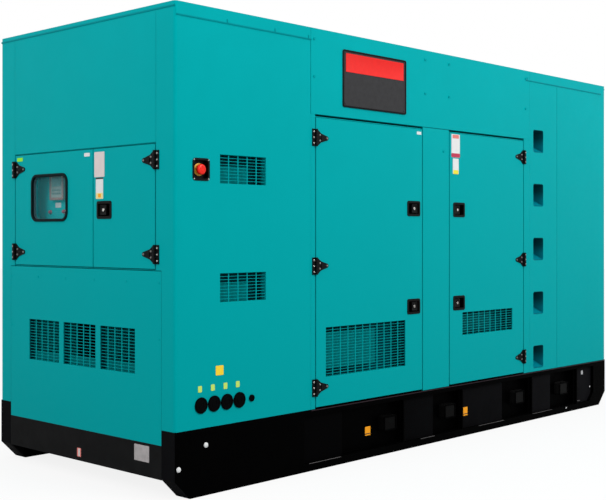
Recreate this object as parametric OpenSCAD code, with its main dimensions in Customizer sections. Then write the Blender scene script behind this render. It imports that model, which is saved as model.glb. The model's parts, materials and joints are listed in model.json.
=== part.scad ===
// Silenced diesel generator set: a skid with a fuel tank carries a lined sheet-metal canopy,
// with an engine, alternator and radiator inside.
// Stations along the set are measured from the control end face, heights from the ground,
// and positions across an end face from its front corner.

/* [Overall] */
// Length over the two end faces
length = 4050; // [3900:10:4400]
// Width over the two long sides
width = 1475; // [1400:5:1600]
// Height from the ground to the top of the roof
height = 2300; // [2250:10:2500]
// Height from the ground to the top of the base deck
skid_h = 318; // [280:2:360]

/* [Skid] */
// Width of each skid rail
rail_w = 97; // [80:1:120]
// Length and height of the bevel under each rail end
rail_bevel = 90; // [60:1:110]
// Height of the lip along the bottom of a rail
rail_foot_h = 42; // [20:1:60]
// Height of the lip along the top of a rail
rail_top_lip_h = 22; // [15:1:40]
// Depth of the deep bays in a rail
deep_bay_d = 55; // [30:1:75]
// Depth of the shallow bays in a rail
shallow_bay_d = 22; // [8:1:28]
// Thickness of the stiffener between two bays
stiffener_t = 12; // [6:1:20]
// Station where the first bay starts
bay_start_s = 853; // [700:1:950]
// Slope that takes off the last bay's lower corner
last_bay_slope = 57; // [30:1:80]
// Length of a square boss in a deep bay
boss_l = 112; // [80:1:130]
// Height of a square boss
boss_h = 86; // [50:1:110]
// Depth of a boss's face behind the rail face
boss_in = 15; // [5:1:25]
// Thickness of the base deck plate
deck_t = 10; // [6:1:16]
// Height of the end plate's bottom edge above the ground
end_plate_up = 86; // [60:1:110]
// Thickness of the skid end plates
end_plate_t = 12; // [6:1:20]
// Length of the fuel tank
tank_l = 3000; // [2400:50:3300]
// Clearance between the ground and the fuel tank
tank_up = 60; // [40:1:100]

/* [Canopy panels] */
// Thickness of a lined panel or door
panel_t = 40; // [30:1:50]
// Visible seam between two fixed panels
seam = 3; // [2:0.5:5]
// Outer radius of the four upright corners
corner_r = 14; // [6:1:25]
// Width of the side panels' return on an end face, beside the doors
return_w = 137; // [120:1:150]
// Thickness of the lined roof
roof_t = 60; // [45:1:70]
// Height of the roof's folded lip on the long sides
roof_lip_h = 71; // [65:1:90]
// Thickness of the folded lip
roof_lip_t = 4; // [2:0.5:6]
// Height of the roof's edge on the end faces
roof_edge_h = 20; // [12:1:30]
// Station where the header panel over the doors starts
header_s0 = 912; // [880:1:920]
// Station where the header panel over the doors ends
header_s1 = 3030; // [3010:1:3040]
// Station of the seam between the step panel and the tail panel
step_seam_s = 3377; // [3340:1:3420]

/* [Long-side doors] */
// Clearance round a door in its opening
door_gap = 7; // [6.5:0.5:9]
// Clearance between a door and the base deck
sill_gap = 8; // [6:0.5:12]
// Height of a long-side door
door_h = 1510; // [1460:5:1530]
// Gap between the doors and the header panel
drip_gap = 17; // [12:1:25]
// Station where the first door opening starts
door_1_s0 = 946; // [940:1:955]
// Width of the first door opening
door_1_w = 924; // [900:1:930]
// Station where the second door opening starts
door_2_s0 = 2128; // [2110:1:2140]
// Width of the second door opening
door_2_w = 831; // [820:1:840]

/* [Control-end doors] */
// Height of the end door opening's bottom above the deck
end_door_up = 740; // [700:5:780]
// Height of the end door opening
end_door_h = 599; // [570:1:620]
// Width of the opening that the window door closes
window_leaf_w = 710; // [680:1:740]
// Gap between the two leaves
leaf_gap = 11; // [10:0.5:14]
// Drop of the lower end panel below the deck's top
end_panel_drop = 73; // [50:1:90]

/* [Window] */
// Width over the window's rubber frame
window_w = 330; // [280:1:380]
// Height over the window's rubber frame
window_h = 248; // [200:1:300]
// Outer corner radius of the window frame
window_r = 48; // [25:1:60]
// Width of the rubber frame
window_rim = 14; // [12:1:25]
// Distance from the hinge side of the opening to the window frame
window_in = 163; // [150:1:180]
// Height of the window frame above the deck
window_up = 976; // [940:1:1000]
// Thickness of the glass
glass_t = 5; // [4:0.5:8]
// Width of the frame's lip outside the hole in the door
window_lap = 6; // [5:1:12]
// Height of the frame's lip in front of the door
window_proud = 5; // [3:0.5:8]
// Depth of the glass in the frame's groove
glass_grip = 3; // [2.5:0.5:6]

/* [Hinges] */
// Height of a hinge
hinge_h = 90; // [80:1:110]
// Reach of the pointed leaf across the door
hinge_reach = 96; // [70:1:120]
// Width of the pointed leaf's full-height root
hinge_root_w = 10; // [8:0.5:20]
// Reach of the pointed leaf's waist across the door
hinge_waist_reach = 38; // [30:1:50]
// Height of the pointed leaf at its waist
hinge_waist_h = 48; // [40:1:60]
// Radius of the pointed leaf's tip
hinge_tip_r = 11; // [8:0.5:16]
// Width of the fixed leaf on the frame
hinge_frame_leaf_w = 24; // [18:0.5:26]
// Thickness of a hinge leaf
hinge_leaf_t = 4; // [3:0.5:5]
// Radius of the hinge knuckle
knuckle_r = 7; // [6:0.5:8]
// Distance of the hinge pin in front of the panel face
pin_out = 8; // [7.5:0.5:10]
// Radius of the hinge pin
pin_r = 3.5; // [3:0.5:4.5]
// Height of the lowest door hinge above the deck
hinge_low_up = 110; // [80:1:140]
// Height of the middle door hinge above the deck
hinge_mid_up = 744; // [700:1:780]
// Height of the upper door hinge above the deck
hinge_high_up = 1413; // [1390:1:1440]
// Height of the lower hinge above the foot of a control-end door
end_hinge_low_up = 75; // [60:1:90]
// Height of the upper hinge above the foot of a control-end door
end_hinge_high_up = 517; // [490:1:530]

/* [Latches] */
// Width of a latch flange
latch_w = 120; // [105:1:135]
// Height of a latch flange
latch_h = 88; // [80:1:100]
// Corner radius of a latch flange
latch_r = 12; // [6:1:20]
// Width of the flange round the latch body
latch_flange = 5; // [3:0.5:8]
// Thickness of the latch body's wall
latch_wall = 8; // [7:0.5:10]
// Depth of the latch recess behind the door face
latch_d = 30; // [24:1:34]
// Height of the lower latch above the deck
latch_low_up = 494; // [450:1:560]
// Height of the upper latch above the deck
latch_high_up = 1057; // [1000:1:1120]
// Distance from a long-side door's free edge to the latch centre
latch_in = 81; // [70:1:100]
// Extra distance of the second door's latches from its free edge
second_latch_in = 14; // [0:1:20]
// Height of the control-end latch above the deck
leaf_latch_up = 1029; // [1000:1:1060]
// Distance from the latch leaf's free edge to its latch centre
leaf_latch_in = 86; // [70:1:100]
// Clearance round a latch paddle
paddle_gap = 5.5; // [5:0.5:8]
// Width of the finger space beside a latch paddle
finger_w = 34; // [26:1:40]
// Thickness of a latch paddle
paddle_t = 9; // [7:0.5:11]
// Depth of a paddle's face behind the door face
paddle_in = 2; // [1:0.5:4]
// Radius of a paddle's pin
paddle_pin_r = 2.5; // [2:0.25:3]
// Thickness of a latch flange
flange_t = 3; // [2:0.5:4]
// Thickness of a latch body's back
latch_back = 4; // [3:0.5:6]

/* [Grilles] */
// Width of one grille cell on the long sides
cell_w = 61.5; // [56:0.5:66]
// Width of one grille cell on the end faces
end_cell_w = 55; // [50:0.5:58]
// Height of one grille cell
cell_h = 15.3; // [14:0.1:18]
// Width of an upright grille bar
bar_w = 5; // [3:0.5:6]
// Height of a level grille bar
bar_h = 2.4; // [2:0.1:4]
// Depth of a grille bar
bar_t = 4; // [3:0.5:5]
// Distance of a grille behind the panel face
grille_in = 6; // [3:1:12]
// Thickness of the baffle sheet behind a grille
baffle_t = 3; // [2:0.5:5]
// Station of the side grilles
side_grille_s = 278; // [260:1:300]
// Height of the lower side grille above the deck
side_grille_low_up = 585; // [560:1:620]
// Height of the upper side grille above the deck
side_grille_high_up = 1152; // [1120:1:1200]
// Columns of a side grille
side_grille_cols = 5; // [3:1:6]
// Rows of a side grille
side_grille_rows = 9; // [6:1:12]
// Distance from the first door's hinge side to its grille
door_1_grille_in = 83; // [70:1:110]
// Height of the first door's grille above the deck
door_1_grille_up = 159; // [140:1:180]
// Columns of the first door's grille
door_1_grille_cols = 11; // [8:1:12]
// Rows of the first door's grille
door_1_grille_rows = 17; // [12:1:18]
// Distance from the second door's free edge to its grille
door_2_grille_in = 140; // [120:1:160]
// Height of the second door's grille above the deck
door_2_grille_up = 296; // [270:1:320]
// Columns of the second door's grille
door_2_grille_cols = 9; // [6:1:10]
// Rows of the second door's grille
door_2_grille_rows = 9; // [6:1:12]
// Position of the first end grille from the front corner
end_grille_w0 = 295; // [240:1:300]
// Pitch of the end grilles
end_grille_pitch = 314; // [290:1:330]
// Number of end grilles beside each other
end_grille_count = 3; // [2:1:3]
// Columns of an end grille
end_grille_cols = 5; // [3:1:5]
// Rows of an end grille
end_grille_rows = 14; // [10:1:18]
// Height of the lower end grilles above the deck
end_grille_up = 245; // [230:1:280]
// Height of the upper radiator-end grilles above the deck
upper_grille_up = 1080; // [1040:1:1150]

/* [Steps] */
// Width of a step recess
step_w = 127; // [110:1:140]
// Height of a step recess
step_h = 150; // [130:1:170]
// Depth of a step recess
step_d = 105; // [80:1:130]
// Pitch of the steps
step_pitch = 358; // [330:1:365]
// Height of the lowest step's centre above the deck
step_up = 95; // [90:1:120]
// Thickness of a step pocket's sheet
pocket_t = 3; // [2:0.5:5]
// Corner radius of a step recess
step_r = 16; // [8:1:25]
// Station of the middle of the steps
step_s = 3138; // [3120:1:3180]
// Number of steps on each side
step_count = 5; // [3:1:5]

/* [Fittings] */
// Width and height of the emergency stop's housing
estop_w = 106; // [95:1:120]
// Corner radius of the emergency stop's case
estop_r = 18; // [12:1:24]
// Depth of the emergency stop's housing
estop_d = 52; // [46:1:60]
// Radius of the emergency stop button
button_r = 25; // [20:0.5:33]
// Travel of the emergency stop button
button_travel = 5; // [3:0.5:6]
// Station of the emergency stop
estop_s = 158; // [120:1:180]
// Height of the emergency stop above the deck
estop_up = 1213; // [1180:1:1260]
// Wall of the emergency stop's housing
estop_wall = 5; // [4:0.5:7]
// Height of the emergency stop button
button_h = 15.6; // [12:0.2:20]
// Height of the straight rim behind the button's cone
button_rim_h = 6.2; // [4:0.2:8]
// Radius of the button's front
button_face_r = 22; // [16:0.5:30]
// How far the button stands out of its housing
button_out = 8; // [2:0.5:12]
// Depth of the well in the emergency stop's housing, from the panel face
estop_well = 18; // [14:0.5:24]
// Radius of the button's stem
stem_r = 11; // [8:0.5:13]
// Radius of a cable entry cap
cap_r = 38; // [30:0.5:39]
// Radius of the small earth cap
small_cap_r = 17; // [12:0.5:22]
// Spacing of the cable entry caps
cap_pitch = 82; // [80:1:90]
// Number of cable entry caps
cap_count = 4; // [2:1:5]
// Station of the first cable entry cap
cap_station = 157; // [140:1:180]
// Height of the cable entry caps above the deck
cap_up = 108; // [95:1:140]
// Radius of a cap's body as a share of its radius
cap_body_share = 0.8; // [0.6:0.05:0.9]
// Height of a cap in front of the panel
cap_proud = 6; // [4:0.5:10]
// Width of the name plate
plate_w = 546; // [450:1:600]
// Height of the name plate
plate_h = 308; // [240:1:330]
// Thickness of the name plate
plate_t = 4; // [2:0.5:6]
// Station of the middle of the name plate
plate_s = 1434; // [1380:1:1480]
// Height of the middle of the name plate above the deck
plate_up = 1745; // [1730:1:1760]

/* [Control cabinet] */
// Distance of the cabinet behind the control-end doors
cabinet_in = 60; // [45:1:80]
// Depth of the cabinet
cabinet_d = 240; // [180:5:280]
// Height of the cabinet's underside above the deck
cabinet_up = 640; // [560:5:700]
// Height of the cabinet
cabinet_h = 670; // [600:5:720]
// Width of each of its two legs
stand_w = 90; // [60:5:120]
// Width of the controller
controller_w = 122; // [110:1:150]
// Height of the controller
controller_h = 140; // [130:1:180]
// Height of the controller's front above the cabinet's face
controller_t = 22; // [15:1:30]
// Corner radius of the controller
controller_r = 8; // [4:1:15]
// Distance of the controller's middle from the window's middle
controller_across = 51; // [40:1:60]
// Height of the controller's middle above the window's middle
controller_above = 62; // [40:1:70]

/* [Machinery] */
// Height of the crankshaft above the deck
shaft_up = 560; // [520:5:620]
// Radius of the alternator's frame
alternator_r = 330; // [280:5:360]
// Length of the alternator
alternator_l = 820; // [700:10:900]
// Length of the engine block
engine_l = 1180; // [1000:10:1250]
// Width of the engine block
engine_w = 420; // [360:10:480]
// Thickness of the radiator core
radiator_t = 180; // [140:5:220]
// Width of the radiator
radiator_w = 1160; // [1000:10:1200]
// Height of the radiator
radiator_h = 1340; // [1200:10:1450]
// Station of the alternator's frame
alternator_s0 = 560; // [520:5:600]
// Length of the alternator's end cover
alternator_nose_l = 60; // [40:5:90]
// Length of the terminal box
terminal_box_l = 380; // [300:10:450]
// Width of the terminal box
terminal_box_w = 360; // [300:10:420]
// Height of the terminal box over the alternator's frame
terminal_box_h = 130; // [90:5:160]
// Distance of the terminal box from the alternator's end
terminal_box_in = 200; // [150:5:240]
// Length of each machine foot
foot_l = 160; // [120:5:200]
// Distance of a foot from the end of the machine
foot_in = 60; // [40:5:90]
// Width over the alternator's feet
alternator_foot_w = 620; // [560:10:660]
// Length of the coupling housing
coupling_l = 120; // [90:5:150]
// Length of the flywheel housing
flywheel_l = 140; // [110:5:170]
// Height of the engine block above the crankshaft
head_up = 420; // [380:5:460]
// Depth of the engine block below the crankshaft
crankcase_down = 120; // [100:5:150]
// Height of the rocker cover
cover_h = 90; // [70:5:110]
// Narrowing of the rocker cover on the block
cover_in = 80; // [60:5:110]
// Clearance of the sump above the deck
sump_up = 130; // [100:5:160]
// Narrowing of the sump under the block
sump_in = 45; // [30:5:70]
// Height of the manifolds above the crankshaft
manifold_up = 160; // [140:5:200]
// Height of a manifold
manifold_h = 140; // [100:5:170]
// Reach of a manifold beside the block
manifold_out = 100; // [80:5:140]
// Distance of the manifolds from the block's ends
manifold_in = 200; // [150:5:250]
// Radius of the crankshaft pulley
pulley_r = 95; // [80:1:100]
// Length of the crankshaft pulley
pulley_l = 60; // [40:5:80]
// Distance from the engine to the radiator
radiator_gap = 190; // [170:5:210]
// Length of the fan cowl
cowl_l = 90; // [70:5:110]
// Wall of the fan cowl
cowl_wall = 25; // [15:1:30]
// Radius of the fan
fan_r = 405; // [380:5:410]
// Height of the fan's shaft above the crankshaft
fan_up = 190; // [185:1:210]
// Radius of the fan's hub
fan_hub_r = 80; // [70:1:85]
// Number of fan blades
fan_blades = 6; // [4:1:6]
// Width of a fan blade
blade_w = 68; // [50:1:72]
// Thickness of a fan blade
blade_t = 10; // [6:1:14]
// Running gap between the blades and the cowl
fan_tip_play = 15; // [10:1:20]
// Radius of the silencer
silencer_r = 170; // [140:5:200]
// Distance of the silencer below the roof lining
silencer_gap = 140; // [100:5:180]
// Distance of the silencer's axis behind the radiator
silencer_behind = 330; // [280:5:360]
// Width of a silencer strap
strap_w = 60; // [40:5:80]
// Thickness of a silencer strap
strap_t = 50; // [30:5:60]
// Length of the silencer
silencer_l = 960; // [800:10:1050]

/* [Hidden] */
$fn = 48;
cut = 1;
teal = [0.01, 0.64, 0.66];
black = [0.07, 0.07, 0.08];
hinge_proud = pin_out + knuckle_r;
end_x = -(length - hinge_proud) / 2;
half_seam = seam / 2;
rail_h = skid_h - deck_t;
lower_return_w = rail_w;
door_z0 = skid_h + sill_gap;
door_z1 = door_z0 + door_h;
header_z0 = door_z1 + drip_gap;
door_1_s1 = door_1_s0 + door_1_w;
door_2_s1 = door_2_s0 + door_2_w;
post_split_s = (door_1_s1 + door_2_s0) / 2;
end_door_z0 = skid_h + end_door_up;
end_door_z1 = end_door_z0 + end_door_h;
panel_top_z = height - roof_edge_h;
roof_z = height - roof_t;
// Bays along a rail: end station and whether the bay is shallow; each deep bay holds one boss.
bay_ends = [[1181, true], [1686, false], [1997, true], [2264, false],
            [2734, true], [3054, false], [3325, true], [3641, false], [3880, true]];
boss_stations = [1584, 2158, 2930, 3491];
hinge_ups = [hinge_low_up, hinge_mid_up, hinge_high_up];
end_hinge_ups = [end_hinge_low_up, end_hinge_high_up];
latch_ups = [latch_low_up, latch_high_up];
boss_r = 14;
knuckle_h = hinge_h / 3;
knuckle_play = 0.5;
pin_play = 0.1;
leaf_play = 2;
side_grille_ups = [side_grille_low_up, side_grille_high_up];
door_1_grille = [door_1_s0 + door_1_grille_in, door_1_grille_up, door_1_grille_cols, door_1_grille_rows];
door_2_grille = [door_2_s0 + door_2_grille_in, door_2_grille_up, door_2_grille_cols, door_2_grille_rows];
end_grille_ws = [for (i = [0:end_grille_count - 1]) end_grille_w0 + i * end_grille_pitch];
door_1_pin_s = door_1_s0 + door_gap / 2;
door_2_pin_s = door_2_s1 - door_gap / 2;
latch_leaf_pin_w = return_w + door_gap / 2;
window_leaf_pin_w = width - return_w - door_gap / 2;
latch_body_w = latch_w - 2 * latch_flange;
latch_body_h = latch_h - 2 * latch_flange;
recess_w = latch_body_w - 2 * latch_wall;
recess_h = latch_body_h - 2 * latch_wall;
paddle_w = recess_w - paddle_gap - finger_w;
paddle_h = recess_h - 2 * paddle_gap;
paddle_pin_u = recess_w / 2 - paddle_gap - paddle_t / 2;
paddle_pin_y = paddle_in + paddle_t / 2;
paddle_pin_l = recess_h + latch_wall;
door_1_latch_s = door_1_s1 - door_gap - latch_in;
door_2_latch_s = door_2_s0 + door_gap + latch_in + second_latch_in;
leaf_split_w = width - return_w - window_leaf_w;
leaf_z0 = end_door_z0 + door_gap;
leaf_z1 = end_door_z1 - door_gap;
latch_leaf_edge_w = leaf_split_w - leaf_gap / 2;
window_leaf_edge_w = leaf_split_w + leaf_gap / 2;
leaf_latch_w = latch_leaf_edge_w - leaf_latch_in;
leaf_latch_z = skid_h + leaf_latch_up;
window_cw = width - return_w - window_in - window_w / 2;
window_cz = skid_h + window_up + window_h / 2;
cabinet_w0 = leaf_split_w + stand_w / 3;
cabinet_w1 = width - return_w - door_gap;
cabinet_y = panel_t + cabinet_in;
estop_body = estop_w - 2 * latch_flange;
stem_play = 1;
cap_play = 0.5;
// Blanked cable entries: station and radius of each cap.
caps = [
    for (i = [0:cap_count - 1]) [cap_station + i * cap_pitch, cap_r],
    [cap_station + cap_count * cap_pitch, small_cap_r]
];
shaft_z = skid_h + shaft_up;
head_z = shaft_z + head_up;
engine_s0 = alternator_s0 + alternator_l + coupling_l;
radiator_s0 = engine_s0 + engine_l + radiator_gap;
fan_z = shaft_z + fan_up;
cowl_r = fan_r + fan_tip_play;
silencer_z = roof_z - silencer_gap - silencer_r;

// ---- Frames of the faces -------------------------------------------------------------

// Front long side: x runs along the set from the control end, y goes in, z up.
module front_side() translate([end_x, -width / 2, 0]) children();

// Rear long side, as the front side seen in a mirror.
module rear_side() mirror([0, 1, 0]) front_side() children();

// Both long sides.
module both_sides() {
    front_side() children();
    rear_side() children();
}

// Control end face: x runs across from the front corner, y goes in, z up.
module control_end() translate([end_x, -width / 2, 0]) mirror([1, -1, 0]) children();

// Radiator end face, as the control end seen in a mirror.
module radiator_end() translate([2 * end_x + length, 0, 0]) mirror([1, 0, 0]) control_end() children();

// ---- Shared shapes --------------------------------------------------------------------

// A slab between two corners of a face, as thick as a panel.
module slab(u0, u1, z0, z1, t = panel_t) translate([u0, 0, z0]) cube([u1 - u0, t, z1 - z0]);

// A plate with rounded corners, standing in the face, from depth y0 to y1.
module rounded_plate(u, z, w, h, r, y0, y1) {
    translate([u, y1, z]) rotate([90, 0, 0]) linear_extrude(y1 - y0) {
        square([w - 2 * r, h], center = true);
        square([w, h - 2 * r], center = true);
        for (i = [-1, 1], k = [-1, 1]) translate([i * (w / 2 - r), k * (h / 2 - r)]) circle(r);
    }
}

// A bar grille filling an opening; its bars run into the opening's edges.
module grille_bars(u0, z0, cols, rows, cw) {
    w = cols * cw;
    h = rows * cell_h;
    for (i = [1:cols - 1])
        translate([u0 + i * cw - bar_w / 2, grille_in, z0 - cut]) cube([bar_w, bar_t, h + 2 * cut]);
    for (k = [1:rows - 1])
        translate([u0 - cut, grille_in, z0 + k * cell_h - bar_h / 2]) cube([w + 2 * cut, bar_t, bar_h]);
}

// The opening behind a grille, right through a panel.
module grille_hole(u0, z0, cols, rows, cw)
    translate([u0, -cut, z0]) cube([cols * cw, panel_t + 2 * cut, rows * cell_h]);

// A baffle sheet at the panel's inner face; the fractions say what part of the hole it covers.
module baffle(u0, z0, cols, rows, cw, from_u, to_u, from_z, to_z) {
    w = cols * cw;
    h = rows * cell_h;
    translate([u0 + from_u * w - cut, panel_t - baffle_t, z0 + from_z * h - cut])
        cube([(to_u - from_u) * w + 2 * cut, baffle_t, (to_z - from_z) * h + 2 * cut]);
}

// ---- Skid -----------------------------------------------------------------------------

// Outline of a rail in side view, bevelled under both ends.
module rail_outline() polygon([
    [0, rail_bevel], [rail_bevel, 0], [length - rail_bevel, 0], [length, rail_bevel],
    [length, rail_h], [0, rail_h]
]);

// A bay in a rail's face; the slope takes off its lower far corner.
module rail_bay(s0, s1, depth, slope) {
    z1 = rail_h - rail_top_lip_h;
    foot = slope > 0 ? [[s1 - slope, rail_foot_h], [s1, rail_foot_h + slope]] : [[s1, rail_foot_h]];
    translate([0, depth, 0]) rotate([90, 0, 0]) linear_extrude(depth + cut)
        polygon(concat([[s0, z1], [s0, rail_foot_h]], foot, [[s1, z1]]));
}

module rail() {
    difference() {
        translate([0, rail_w, 0]) rotate([90, 0, 0]) linear_extrude(rail_w) rail_outline();
        for (i = [0:len(bay_ends) - 1]) {
            last = i == len(bay_ends) - 1;
            shallow = bay_ends[i][1];
            start = (i == 0 ? bay_start_s : bay_ends[i - 1][0]) + (shallow ? stiffener_t : 0);
            rail_bay(start, bay_ends[i][0] + (last ? 0 : cut),
                shallow ? shallow_bay_d : deep_bay_d, last ? last_bay_slope : 0);
        }
    }
}

module skid_rails() color(black) both_sides() rail();

// Square bosses standing on the floor of the deep bays.
module skid_bosses() color(black) both_sides() for (s = boss_stations) rounded_plate(
    s, (rail_foot_h + rail_h - rail_top_lip_h) / 2, boss_l, boss_h, boss_r, boss_in, deep_bay_d
);

module skid_end_plate() slab(rail_w, width - rail_w, end_plate_up, skid_h - end_panel_drop, end_plate_t);

module skid_end_plates() color(black) {
    control_end() skid_end_plate();
    radiator_end() skid_end_plate();
}

module fuel_tank() color(black)
    translate([end_x + (length - tank_l) / 2, rail_w - width / 2, tank_up])
        cube([tank_l, width - 2 * rail_w, rail_h - tank_up]);

// The deck stops short of the end panels that hang between the rails.
module base_deck() color(black) difference() {
    translate([end_x, -width / 2, rail_h]) cube([length, width, deck_t]);
    control_end() deck_notch();
    radiator_end() deck_notch();
}

module deck_notch()
    translate([rail_w, -cut, rail_h - cut]) cube([width - 2 * rail_w, panel_t + cut, deck_t + 2 * cut]);

// ---- Fixed canopy panels --------------------------------------------------------------

// Posts beside and between the long-side doors, standing on the deck.
module door_posts() color(teal) both_sides() {
    slab(header_s0 + half_seam, door_1_s0, skid_h, header_z0 - seam);
    slab(door_1_s1, door_2_s0, skid_h, header_z0 - seam);
    slab(door_2_s1, header_s1 - half_seam, skid_h, header_z0 - seam);
}

// Plan of a side panel from an end face to a station, with its return on the end face.
module side_plan(run, ret) difference() {
    union() {
        square([run, panel_t]);
        square([panel_t, ret]);
    }
    difference() {
        translate([-cut, -cut]) square(corner_r + cut);
        translate([corner_r, corner_r]) circle(corner_r);
    }
}

// A wrapped side panel: narrow return below, wide return beside the doors, and a rebate for the roof lip.
module wrapped_panel(run) difference() {
    union() {
        translate([0, 0, skid_h]) linear_extrude(panel_top_z - skid_h) side_plan(run, lower_return_w);
        translate([0, 0, end_door_z0]) linear_extrude(panel_top_z - end_door_z0) side_plan(run, return_w);
    }
    translate([-cut, -cut, height - roof_lip_h])
        cube([run + 2 * cut, roof_lip_t + cut, roof_lip_h]);
}

module side_panel(with_fittings) {
    difference() {
        wrapped_panel(header_s0 - half_seam);
        for (up = side_grille_ups)
            grille_hole(side_grille_s, skid_h + up, side_grille_cols, side_grille_rows, cell_w);
        if (with_fittings) {
            rounded_plate(estop_s, skid_h + estop_up, estop_body, estop_body, estop_r, -cut, panel_t + cut);
            for (cap = caps) cap_at(cap) cylinder(h = panel_t + 2 * cut, r = cap_body(cap[1]) + cap_play);
        }
    }
    for (up = side_grille_ups) {
        grille_bars(side_grille_s, skid_h + up, side_grille_cols, side_grille_rows, cell_w);
        baffle(side_grille_s, skid_h + up, side_grille_cols, side_grille_rows, cell_w, 0, 0.7, 0, 0.62);
    }
}

module side_panels() color(teal) {
    front_side() side_panel(true);
    rear_side() side_panel(false);
}

module headers() color(teal) both_sides()
    slab(header_s0 + half_seam, header_s1 - half_seam, header_z0, height);

module step_hole(i) {
    z = skid_h + step_up + i * step_pitch;
    rounded_plate(step_s, z, step_w, step_h, step_r, -cut, panel_t + cut);
}

module step_panels() color(teal) both_sides() difference() {
    slab(header_s1 + half_seam, step_seam_s - half_seam, skid_h, panel_top_z);
    translate([header_s1, -cut, height - roof_lip_h])
        cube([step_seam_s - header_s1, roof_lip_t + cut, roof_lip_h]);
    for (i = [0:step_count - 1]) step_hole(i);
}

// Section of a step pocket: deep at the top, with a sloping floor that drains outwards.
module pocket_section(inset) polygon([
    [-cut * inset, -step_h / 2 + pocket_t * inset],
    [0, -step_h / 2 + pocket_t * inset],
    [step_d - pocket_t * inset, -step_h / 8],
    [step_d - pocket_t * inset, step_h / 2 - pocket_t * inset],
    [-cut * inset, step_h / 2 - pocket_t * inset]
]);

// Extrudes a section drawn as (depth, height) across a width centred on the step station.
module across(w) translate([step_s - w / 2, 0, 0]) rotate([90, 0, 90]) linear_extrude(w) children();

// A solid with the pocket's section and rounded corners, inset from the outer shape.
module pocket_form(inset) intersection() {
    across(step_w - 2 * inset) pocket_section(inset / pocket_t);
    rounded_plate(step_s, 0, step_w - 2 * inset, step_h - 2 * inset, step_r - inset, -cut, step_d);
}

module step_pocket() difference() {
    pocket_form(0);
    pocket_form(pocket_t);
}

module step_pockets() color(teal) both_sides() for (i = [0:step_count - 1])
    translate([0, 0, skid_h + step_up + i * step_pitch]) step_pocket();

module tail_panels() color(teal) translate([2 * end_x + length, 0, 0]) mirror([1, 0, 0])
    both_sides() wrapped_panel(length - step_seam_s - half_seam);

// Lined roof with folded lips on the long sides, left open where the headers stand.
module roof_panel() color(teal) difference() {
    translate([end_x, -width / 2, 0]) union() {
        translate([panel_t, panel_t, roof_z]) cube([length - 2 * panel_t, width - 2 * panel_t, roof_t]);
        translate([0, 0, panel_top_z]) cube([length, width, roof_edge_h]);
        translate([0, 0, height - roof_lip_h]) cube([length, roof_lip_t, roof_lip_h]);
        translate([0, width - roof_lip_t, height - roof_lip_h]) cube([length, roof_lip_t, roof_lip_h]);
    }
    both_sides() slab(header_s0, header_s1, height - roof_lip_h - cut, height + cut);
    both_sides() roof_corner();
    translate([2 * end_x + length, 0, 0]) mirror([1, 0, 0]) both_sides() roof_corner();
}

// What is cut from a roof corner to round it like the panels below.
module roof_corner() translate([0, 0, height - roof_lip_h - cut]) linear_extrude(roof_lip_h + 2 * cut)
    difference() {
        translate([-cut, -cut]) square(corner_r + cut);
        translate([corner_r, corner_r]) circle(corner_r);
    }

// ---- End panels -----------------------------------------------------------------------

module grille_panel(u0, u1, z0, z1, grille_z) {
    difference() {
        slab(u0, u1, z0, z1);
        for (w = end_grille_ws) grille_hole(w, grille_z, end_grille_cols, end_grille_rows, end_cell_w);
    }
    for (w = end_grille_ws) {
        grille_bars(w, grille_z, end_grille_cols, end_grille_rows, end_cell_w);
        baffle(w, grille_z, end_grille_cols, end_grille_rows, end_cell_w, 0, 1, 0, 0.2);
    }
}

module end_lower_panel() grille_panel(
    rail_w + half_seam, width - rail_w - half_seam, skid_h - end_panel_drop, end_door_z0 - seam,
    skid_h + end_grille_up
);

module control_end_lower_panel() color(teal) control_end() end_lower_panel();
module radiator_end_lower_panel() color(teal) radiator_end() end_lower_panel();

module control_end_upper_panel() color(teal) control_end()
    slab(return_w + half_seam, width - return_w - half_seam, end_door_z1, panel_top_z);

module radiator_end_upper_panel() color(teal) radiator_end() grille_panel(
    return_w + half_seam, width - return_w - half_seam, end_door_z0, panel_top_z,
    skid_h + upper_grille_up
);

// ---- Hinges ---------------------------------------------------------------------------

// A hinge is drawn with its pin on the z axis; the door lies towards +x and the face at y = pin_out.
module hinge_barrel(r, k) translate([0, 0, -hinge_h / 2 + k * knuckle_h + knuckle_play / 2])
    cylinder(h = knuckle_h - knuckle_play, r = r);

module fixed_hinge_leaf() {
    leaf_w = door_gap / 2 + hinge_frame_leaf_w;
    for (k = [0, 2]) hinge_barrel(knuckle_r, k);
    translate([0, 0, -hinge_h / 2 + knuckle_play / 2]) cylinder(h = hinge_h - knuckle_play, r = pin_r);
    difference() {
        translate([-leaf_w, pin_out - hinge_leaf_t, -hinge_h / 2 + knuckle_play / 2])
            cube([leaf_w, hinge_leaf_t, hinge_h - knuckle_play]);
        translate([0, 0, -knuckle_h / 2 - knuckle_play / 2])
            cylinder(h = knuckle_h + knuckle_play, r = knuckle_r + leaf_play);
    }
}

// The same points on the other side of the x axis, in the opposite order.
function mirrored(points) = [for (i = [len(points) - 1:-1:0]) [points[i][0], -points[i][1]]];

module pointed_outline() {
    root = (hinge_h - knuckle_play) / 2;
    tip_x = hinge_reach - hinge_tip_r;
    flank = [[0, root], [hinge_root_w, root], [hinge_waist_reach, hinge_waist_h / 2], [tip_x, hinge_tip_r]];
    polygon(concat(flank, mirrored(flank)));
    translate([tip_x, 0]) circle(hinge_tip_r);
}

module moving_hinge_leaf() difference() {
    union() {
        hinge_barrel(knuckle_r, 1);
        translate([0, pin_out, 0]) rotate([90, 0, 0]) linear_extrude(hinge_leaf_t) pointed_outline();
    }
    translate([0, 0, -hinge_h]) cylinder(h = 2 * hinge_h, r = pin_r + pin_play);
    for (k = [0, 2]) translate([0, 0, -hinge_h / 2 + k * knuckle_h - knuckle_play])
        cylinder(h = knuckle_h + 2 * knuckle_play, r = knuckle_r + leaf_play);
}

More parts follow.
